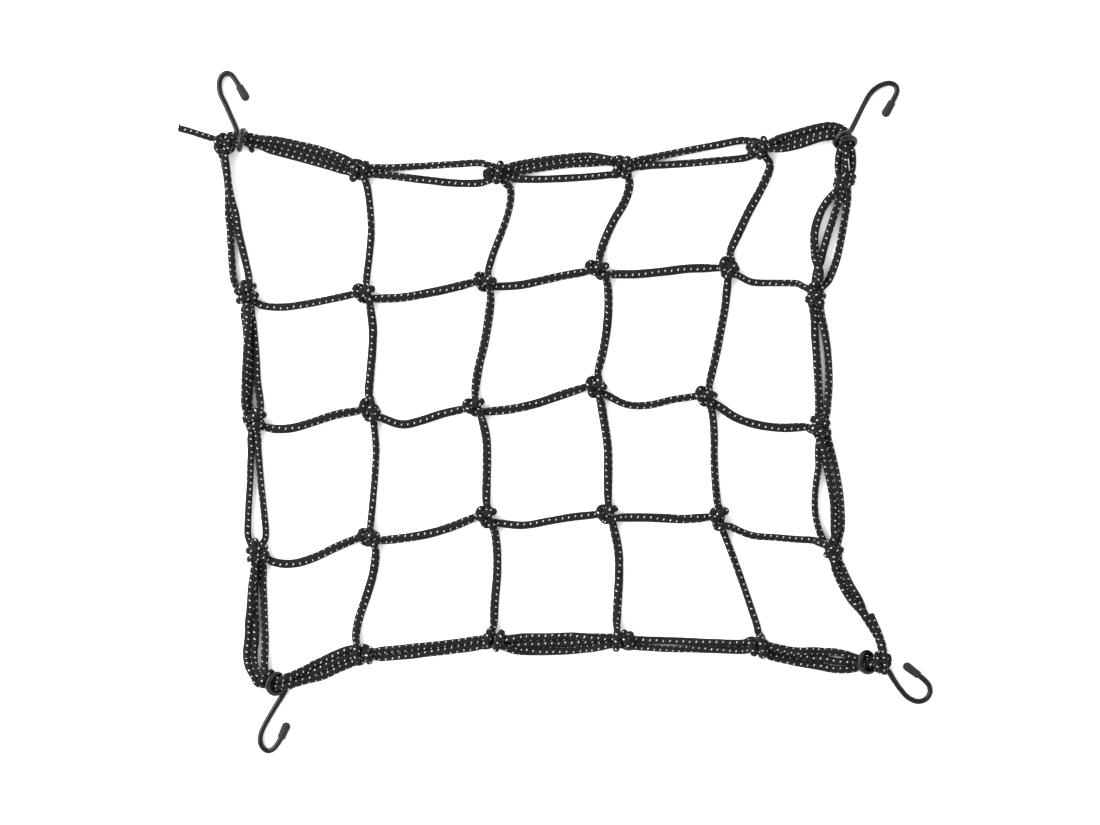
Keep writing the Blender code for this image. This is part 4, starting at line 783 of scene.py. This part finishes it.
def cap_material():
    m, nt, b = nodes_of("matt_rubber")
    tc = nt.nodes.new("ShaderNodeTexCoord")
    n = nt.nodes.new("ShaderNodeTexNoise")
    n.inputs["Scale"].default_value = 700.0
    n.inputs["Detail"].default_value = 4.0
    nt.links.new(tc.outputs["Object"], n.inputs["Vector"])
    bump = nt.nodes.new("ShaderNodeBump")
    bump.inputs["Strength"].default_value = 0.3
    bump.inputs["Distance"].default_value = 0.0001
    nt.links.new(n.outputs[0], bump.inputs["Height"])
    nt.links.new(bump.outputs[0], b.inputs["Normal"])
    ramp = nt.nodes.new("ShaderNodeValToRGB")
    ramp.color_ramp.elements[0].color = (0.006, 0.006, 0.0064, 1)
    ramp.color_ramp.elements[1].color = (0.011, 0.011, 0.0115, 1)
    nt.links.new(n.outputs[0], ramp.inputs[0])
    nt.links.new(ramp.outputs[0], b.inputs["Base Color"])
    b.inputs["Roughness"].default_value = 0.62
    b.inputs["Specular IOR Level"].default_value = 0.15
    return m


M_CORD, M_YARN, M_WIRE, M_CAP = cord_material(), yarn_material(), wire_material(), cap_material()


# ================================================================ meshes
def to_m(V):
    V = np.asarray(V, float).copy()
    V[:, 0] += SHIFT[0]
    V[:, 1] += SHIFT[1]
    return V * MM


def make(name, V, F, mats, fmat=None, uv=None):
    me = bpy.data.meshes.new(name)
    me.from_pydata(to_m(V).tolist(), [], F)
    for m in mats:
        me.materials.append(m)
    if fmat is not None:
        me.polygons.foreach_set("material_index", fmat)
    me.polygons.foreach_set("use_smooth", [True] * len(me.polygons))
    if uv is not None:
        lay = me.uv_layers.new(name="cord")
        lay.data.foreach_set("uv", np.asarray(uv, dtype=np.float32).ravel())
    me.update()
    ob = bpy.data.objects.new(name, me)
    bpy.context.scene.collection.objects.link(ob)
    return ob


def seed_of(name):
    return sum((i + 1) * ord(c) for i, c in enumerate(name)) % 9973


SIDES = 16
RING = 0.8
PITCH = 4.28          # flecks along the cord
PLAIT = 0.92          # plaits along the cord
HAND = -1.0           # which way the white yarn winds
# rings of points of one float: share of its size, height over the cord, points, offset
FLOAT_RINGS = ((1.0, -0.04, 10, 0.0), (0.58, 0.11, 5, 0.5))


def cord_mesh(name, C, R, cut=(False, False)):
    """Round braided cord with a low scallop from its plaits and raised white picks."""
    Q = spline(C, RING)
    sC = np.concatenate([[0], np.cumsum(np.linalg.norm(np.diff(C, axis=0), axis=1))])
    s = np.concatenate([[0], np.cumsum(np.linalg.norm(np.diff(Q, axis=0), axis=1))])
    r = np.interp(s * sC[-1] / s[-1], sC, R)
    rnd = np.random.RandomState(seed_of(name))
    T, S, N = carried(Q)
    ph = rnd.uniform(0, 2 * math.pi, 4)
    twist = 0.9 * np.sin(s / 47.0 + ph[0]) + 0.5 * np.sin(s / 19.0 + ph[1]) + ph[2]
    # the cord is never quite even
    r = r * (1 + 0.012 * np.sin(s / 3.1 + ph[3]) + 0.012 * np.sin(s / 7.3 + ph[0]))
    # how closely the picks follow each other: slack cord is fatter and its plaits are shorter
    pace = (np.minimum(r, 2.5) / (CORD_D / 2)) ** 1.3
    dens = np.where(r < 2.3, 1.08, pace)
    t = np.concatenate([[0], np.cumsum(0.5 * (dens[1:] + dens[:-1]) * np.diff(s))])
    V, F, FM, UV = [], [], [], []
    ang = 2 * math.pi * np.arange(SIDES) / SIDES
    for i in range(len(Q)):
        a = ang + twist[i]
        rr = r[i] * (1 + 0.014 * np.cos(2 * math.pi * t[i] / 2.3 + 2 * ang))
        V.append(Q[i] + (S[i][None, :] * np.cos(a)[:, None] + N[i][None, :] * np.sin(a)[:, None]) * rr[:, None])
    n = len(Q)
    V = np.vstack(V)
    V[:, 2] = np.maximum(V[:, 2], 0.02)
    for i in range(n - 1):
        for k in range(SIDES):
            j = (k + 1) % SIDES
            F.append((i * SIDES + k, i * SIDES + j, (i + 1) * SIDES + j, (i + 1) * SIDES + k))
            FM.append(0)
            u0, u1 = t[i] / PLAIT, t[i + 1] / PLAIT
            v0, v1 = k / SIDES, (k + 1) / SIDES
            UV += [(u0, v0), (u0, v1), (u1, v1), (u1, v0)]
    verts = [V]
    count = len(V)
    # ends: a low dome over the last ring
    for end, i, sgn in ((0, 0, -1.0), (1, n - 1, 1.0)):
        base = i * SIDES
        prev = [base + k for k in range(SIDES)]
        c, tt = Q[i], T[i] * sgn
        for f, out in ((0.86, 0.32), (0.5, 0.5)):
            ring = c + tt * r[i] * out * (0.5 if cut[end] else 1.0) + (V[base:base + SIDES] - c) * f
            ring[:, 2] = np.maximum(ring[:, 2], 0.02)
            verts.append(ring)
            new = [count + k for k in range(SIDES)]
            count += SIDES
            for k in range(SIDES):
                j = (k + 1) % SIDES
                q = (prev[k], prev[j], new[j], new[k])
                F.append(q if sgn > 0 else q[::-1])
                FM.append(0)
                UV += [(t[i] / PLAIT, k / SIDES)] * 4
            prev = new
        verts.append((c + tt * r[i] * 0.56 * (0.5 if cut[end] else 1.0))[None, :])
        for k in range(SIDES):
            j = (k + 1) % SIDES
            q = (prev[k], prev[j], count)
            F.append(q if sgn > 0 else q[::-1])
            FM.append(0)
            UV += [(t[i] / PLAIT, k / SIDES)] * 3
        count += 1
    # the white yarn winds round the cord once a pitch and floats on the surface four times a turn
    slant = PITCH / (2 * math.pi * CORD_D / 2)
    q_ = 0
    first = rnd.uniform(0.2, 1.2)
    while True:
        x = first + q_ * PITCH / 4
        if x > t[-1] - 0.9:
            break
        sx = float(np.interp(x, t, s)) + rnd.uniform(-0.12, 0.12)
        phi = HAND * (q_ * math.pi / 2) + rnd.uniform(-0.12, 0.12) + float(np.interp(sx, s, twist))
        # picks in the tight turns of a knot are drawn smaller: partly because they are pulled down there, partly as
        # painted shade, since less white shows inside the shaded knot
        k = float(np.interp(np.interp(sx, s, r), (1.9, 2.3), (0.84, 1.0)))
        la, wb = k * rnd.uniform(0.60, 0.79), k * rnd.uniform(0.32, 0.41)
        sl = slant * rnd.uniform(0.8, 1.7)
        q_ += 1
        if sx < 0.9 or sx > s[-1] - 0.9:
            continue
        P = []
        for rad_, up, cnt, off in FLOAT_RINGS:
            for w in range(cnt):
                w = 2 * math.pi * (w + off) / cnt
                # blunt oval, long side across the cord
                a_, b_ = la * rad_ * math.cos(w), wb * rad_ * math.sin(w) * (1.12 if abs(math.cos(w)) > 0.5 else 1.0)
                du, dv = HAND * sl * a_ + b_, a_
                ss = sx + du
                i2 = min(n - 2, max(0, int(np.searchsorted(s, ss)) - 1))
                g = min(1.0, max(0.0, (ss - s[i2]) / (s[i2 + 1] - s[i2])))
                c = Q[i2] * (1 - g) + Q[i2 + 1] * g
                S_ = S[i2] * (1 - g) + S[i2 + 1] * g
                N_ = N[i2] * (1 - g) + N[i2 + 1] * g
                rr = r[i2] * (1 - g) + r[i2 + 1] * g
                a = phi + dv / rr
                P.append(c + (S_ * math.cos(a) + N_ * math.sin(a)) * (rr * 1.004 + up))
        P = np.array(P)
        if P[:, 2].min() < 0.03:
            continue
        b = count
        verts.append(P)
        count += len(P)
        for w in range(5):
            o0, o1, o2 = b + 2 * w, b + (2 * w + 1) % 10, b + (2 * w + 2) % 10
            i0, i1 = b + 10 + w, b + 10 + (w + 1) % 5
            for tri in ((o0, o1, i0), (o1, o2, i1), (o1, i1, i0)):
                F.append(tri)
                FM.append(1)
                UV += [(0, 0)] * 3
        F.append(tuple(b + 10 + w for w in range(5)))
        FM.append(1)
        UV += [(0, 0)] * 5
    extra = []
    if name == "free_tail_cord":
        extra.append((frayed(Q, float(r[0])), 0))
    if name[5:] in STREAKS:
        p0, p1, w = STREAKS[name[5:]]
        extra.append((streak(Q, r, p0, p1, w), 1))
    for (EV, EF), mat in extra:
        verts.append(EV)
        for f in EF:
            F.append(tuple(count + i for i in f))
            FM.append(mat)
            UV += [(0.25, 0.1)] * len(f)
        count += len(EV)
    ob = make(name, np.vstack(verts), F, (M_CORD, M_YARN), FM, UV)
    return ob, Q, r


def frayed(C, r):
    """Loose yarn ends standing out of the cut end of a cord: thin tapered threads."""
    rnd = np.random.RandomState(7)
    T, S, N = carried(C)
    c, t, s_, n_ = C[0], -T[0], S[0], N[0]
    V, F, b = [], [], 0
    for q in range(26):
        a, d = rnd.uniform(0, 2 * math.pi), math.sqrt(rnd.uniform(0.05, 0.95)) * r * 0.92
        base = c - t * 0.5 + (s_ * math.cos(a) + n_ * math.sin(a)) * d
        up = rnd.uniform(0.2, 1.0) if q % 2 else rnd.uniform(-0.15, 0.3)
        way = t * rnd.uniform(0.5, 1.0) + arr((0.25, 1.0, 0.0)) * up * 1.6 + arr(rnd.uniform(-0.2, 0.2, 3))
        way /= np.linalg.norm(way)
        L = rnd.uniform(1.1, 2.0) + 1.7 * max(0.0, up) * (1.0 if base[1] > c[1] else 0.55)
        side = np.cross(way, arr((0, 0, 1.0)))
        side /= max(np.linalg.norm(side), 1e-6)
        over = np.cross(way, side)
        w0 = rnd.uniform(0.20, 0.34)
        for f, w in ((0.0, w0), (0.5, w0 * 0.8), (0.9, w0 * 0.35)):
            p = base + way * L * f + arr((0.0, 0.25, 0.0)) * f * f * up
            for k in range(5):
                g = 2 * math.pi * k / 5
                V.append(p + side * math.cos(g) * w + over * math.sin(g) * w)
        V.append(base + way * L)
        for i in range(2):
            for k in range(5):
                j = (k + 1) % 5
                F.append((b + i * 5 + k, b + (i + 1) * 5 + k, b + (i + 1) * 5 + j, b + i * 5 + j))
        for k in range(5):
            F.append((b + 10 + k, b + 15, b + 10 + (k + 1) % 5))
        F.append(tuple(b + k for k in range(5)))
        b += 16
    V = np.array(V)
    V[:, 2] = np.maximum(V[:, 2], 0.05)
    return V, F


def streak(Q, r, p0, p1, w):
    """A white yarn that runs along the cord for a while, from p0 to p1 in the camera's frame."""
    (x0, y0, _), (x1, y1, _) = at([(p0[0], p0[1], 0.0), (p1[0], p1[1], 0.0)])
    V, F, m = [], [], 24
    side = arr((y0 - y1, x1 - x0))
    side /= np.linalg.norm(side)
    for k in range(m):
        f = k / (m - 1)
        taper = min(1.0, 6 * f + 0.15, 6 * (1 - f) + 0.15)
        for g, up in ((-1.0, -0.05), (0.0, 0.16), (1.0, -0.05)):
            q = arr((x0 + (x1 - x0) * f, y0 + (y1 - y0) * f)) + side * w * g * taper
            i = int(np.argmin(np.hypot(Q[:, 0] - q[0], Q[:, 1] - q[1])))
            d = min(np.hypot(Q[i, 0] - q[0], Q[i, 1] - q[1]), 0.93 * r[i])
            V.append((q[0], q[1], Q[i, 2] + math.sqrt(r[i] ** 2 - d ** 2) + up))
    V = np.array(V)
    for _ in range(3):
        for g in range(3):
            z = V[g::3, 2].copy()
            V[g::3, 2][1:-1] = 0.5 * z[1:-1] + 0.25 * (z[:-2] + z[2:])
    for k in range(m - 1):
        for g in range(2):
            F.append((3 * k + g, 3 * k + g + 1, 3 * k + g + 4, 3 * k + g + 3))
    return V, F


STREAKS = {"top_third_3": ((846.9, 158.6), (848.6, 172.0), 0.36)}


def wire_mesh(name, C):
    """Coated wire with rounded ends; the dipped coat is a little uneven."""
    Q = spline(C, 0.7)
    s = np.concatenate([[0], np.cumsum(np.linalg.norm(np.diff(Q, axis=0), axis=1))])
    rnd = np.random.RandomState(seed_of(name))
    ph = rnd.uniform(0, 6.28, 3)
    r = WIRE_D / 2 * (1 + 0.018 * np.sin(s / 4.0 + ph[0]) + 0.012 * np.sin(s / 9.0 + ph[1]))
    sides = 20
    T, S, N = carried(Q)
    V, F = [], []
    steps = [(0, -0.92, 0.0), (0, -0.80, 0.55), (0, -0.50, 0.86)]
    rings = []
    end = len(Q) - 1
    prof = [(0, -0.85 * r[0], 0.40), (0, -0.55 * r[0], 0.80)]
    prof += [(i, 0.0, 1.0) for i in range(len(Q))]
    prof += [(end, 0.55 * r[-1], 0.80), (end, 0.85 * r[-1], 0.40)]
    for i, off, f in prof:
        c = Q[i] + T[i] * off
        a = 2 * math.pi * np.arange(sides) / sides
        ring = c + (S[i][None, :] * np.cos(a)[:, None] + N[i][None, :] * np.sin(a)[:, None]) * r[i] * f
        rings.append(ring)
    V = np.vstack(rings + [(Q[0] - T[0] * r[0])[None, :], (Q[end] + T[end] * r[end])[None, :]])
    V[:, 2] = np.maximum(V[:, 2], 0.02)
    m = len(rings)
    for i in range(m - 1):
        for k in range(sides):
            j = (k + 1) % sides
            F.append((i * sides + k, i * sides + j, (i + 1) * sides + j, (i + 1) * sides + k))
    for k in range(sides):
        j = (k + 1) % sides
        F.append((j, k, m * sides))
        F.append(((m - 1) * sides + k, (m - 1) * sides + j, m * sides + 1))
    return make(name, V, F, (M_WIRE,))


def cap_mesh(name, mouth, d, length):
    """Moulded rubber cap: rolled mouth, slight flare, round end, blind bore."""
    ro, rt, rb = CAP_MOUTH_D / 2, CAP_TIP_D / 2, WIRE_D / 2 + 0.12
    e = length - rt
    prof = [(2.0, 0.0), (2.0, rb * 0.98), (0.5, rb), (0.12, rb + 0.12), (0.0, rb + 0.3), (0.0, ro - 0.22), (0.12, ro - 0.06),
            (0.4, ro), (1.2, ro + 0.02), (3.0, ro + 0.04), (5.0, ro + 0.12), (e - 1.0, rt - 0.03), (e, rt)]
    for a in (15, 30, 45, 60, 72, 82):
        w = math.radians(a)
        prof.append((e + rt * math.sin(w), rt * math.cos(w)))
    prof.append((e + rt, 0.0))
    s = np.cross(d, arr((0, 0, 1.0)))
    s /= np.linalg.norm(s)
    n = np.cross(d, s)
    sides = 28
    V, F, rows = [], [], []
    for a, r in prof:
        c = mouth + d * a
        if r == 0.0:
            rows.append([len(V)])
            V.append(c)
            continue
        row = []
        for k in range(sides):
            w = 2 * math.pi * k / sides
            p = c + (s * math.cos(w) + n * math.sin(w)) * r
            row.append(len(V))
            V.append(arr((p[0], p[1], max(p[2], 0.02))))
        rows.append(row)
    for a, b in zip(rows[:-1], rows[1:]):
        for k in range(sides):
            j = (k + 1) % sides
            if len(a) == 1:
                F.append((a[0], b[j], b[k]))
            elif len(b) == 1:
                F.append((a[k], a[j], b[0]))
            else:
                F.append((a[k], a[j], b[j], b[k]))
    ob = make(name, np.array(V), F, (M_CAP,))
    bm = bmesh.new()
    bm.from_mesh(ob.data)
    bmesh.ops.recalc_face_normals(bm, faces=bm.faces)
    bm.to_mesh(ob.data)
    bm.free()
    return ob


# ================================================================ build
hooks = {h: hook_line(h) for h in HOOKS}
ways, held = routes()
lines = {n: spline(p, STEP) for n, p in ways.items()}
dense, drawn = relax(lines, [hooks[h][0] for h in HOOKS], held)

for cord_name, first, dia in WIDTHS:
    runs = BORDER[cord_name]
    for r_ in runs:
        if r_[0] == first:
            A_, B_ = arr(KNOTS[r_[0]]), arr(KNOTS[r_[1]])
            D_ = B_ - A_
            tpos = (dense[cord_name][:, :2] - A_) @ D_ / float(D_ @ D_)
            w_ = smooth01(tpos / 0.2) * smooth01((1 - tpos) / 0.2)
            drawn[cord_name] = drawn[cord_name] * (1 + (dia / CORD_D - 1) * w_)

for cord_name, dias in MESH_WIDTHS.items():
    for r_, dia in zip({**COLUMNS, **ROWS}[cord_name], dias):
        A_, B_ = arr(KNOTS[r_[0]]), arr(KNOTS[r_[1]])
        D_ = B_ - A_
        tpos = (dense[cord_name][:, :2] - A_) @ D_ / float(D_ @ D_)
        w_ = smooth01((tpos - 0.06) / 0.14) * smooth01((0.94 - tpos) / 0.14)
        drawn[cord_name] = drawn[cord_name] * (1 + (dia / CORD_D - 1) * w_)

drawn["free_tail"] = np.minimum(drawn["free_tail"], TAIL_D / 2)
pieces = {}
for n in dense:
    cut = (n in ("free_tail", "cut_end"), False)
    ob, Q, r = cord_mesh("cord_" + n if n not in ("free_tail", "cut_end") else n + "_cord", dense[n], drawn[n], cut)
    pieces[n] = (ob, Q)
    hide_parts(n)
    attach(ob, "root")
for h in HOOKS:
    ob = wire_mesh("wire_hook_" + h, hooks[h][0])
    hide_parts("hook_" + h)
    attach(ob, "root")
    ob = cap_mesh("rubber_cap_" + h, hooks[h][1], hooks[h][2], CAP_LEN + (1.6 if h == "bottom_right" else 0.3))
    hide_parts("cap_" + h)
    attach(ob, "root")

# the free tail is the one loose cord
tail, TQ = pieces["free_tail"]
TQ = to_m(TQ)

# ================================================================ floor, light, camera
me = bpy.data.meshes.new("floor")
me.from_pydata([(-4, -4, 0), (4, -4, 0), (4, 4, 0), (-4, 4, 0)], [], [(0, 1, 2, 3)])
floor = bpy.data.objects.new("floor", me)
bpy.context.scene.collection.objects.link(floor)
mf, ntf, bf = nodes_of("paper_white")
bf.inputs["Base Color"].default_value = (0.92, 0.92, 0.92, 1)
bf.inputs["Roughness"].default_value = 0.9
bf.inputs["Specular IOR Level"].default_value = 0.1
me.materials.append(mf)

world = bpy.data.worlds.new("studio")
bpy.context.scene.world = world
world.use_nodes = True
# a white tent all round, with the opening for the camera overhead
wt = world.node_tree
sky = wt.nodes["Background"]
way_up = wt.nodes.new("ShaderNodeTexCoord")
split = wt.nodes.new("ShaderNodeSeparateXYZ")
wt.links.new(way_up.outputs["Generated"], split.inputs[0])
tent = wt.nodes.new("ShaderNodeValToRGB")
tent.color_ramp.interpolation = "EASE"
tent.color_ramp.elements[0].position = 0.0
tent.color_ramp.elements[0].color = (0.9, 0.9, 0.9, 1)
tent.color_ramp.elements[1].position = 1.0
tent.color_ramp.elements[1].color = (0.1, 0.1, 0.1, 1)
for spot, grey in ((0.78, 1.0), (0.90, 0.35), (0.96, 0.1)):
    el = tent.color_ramp.elements.new(spot)
    el.color = (grey, grey, grey, 1)
wt.links.new(split.outputs["Z"], tent.inputs[0])
wt.links.new(tent.outputs["Color"], sky.inputs[0])
sky.inputs[1].default_value = 2.45


def area(name, loc, aim, size, power):
    L = bpy.data.lights.new(name, "AREA")
    L.shape = "RECTANGLE"
    L.size, L.size_y = size
    L.energy = power
    o = bpy.data.objects.new(name, L)
    o.location = loc
    o.rotation_euler = (Vector(aim) - Vector(loc)).to_track_quat("-Z", "Y").to_euler()
    bpy.context.scene.collection.objects.link(o)
    return o


area("soft_key", (-1.25, 0.40, 1.15), (0, 0, 0), (2.0, 0.45), 70.0)

cam = bpy.data.cameras.new("camera")
cam.lens = 100.0
cam.sensor_width = 36.0
cam.clip_start = 0.01
cam.clip_end = 20.0
co = bpy.data.objects.new("camera", cam)
dist = 100.0 / 36.0 * 1100 * PX * MM
co.location = (((550 - 555) * PX + SHIFT[0]) * MM, ((411 - 412.5) * PX + SHIFT[1]) * MM, dist + 0.0025)
co.rotation_euler = (0, 0, 0)
bpy.context.scene.collection.objects.link(co)
bpy.context.scene.camera = co
bpy.context.scene.view_settings.view_transform = "Standard"
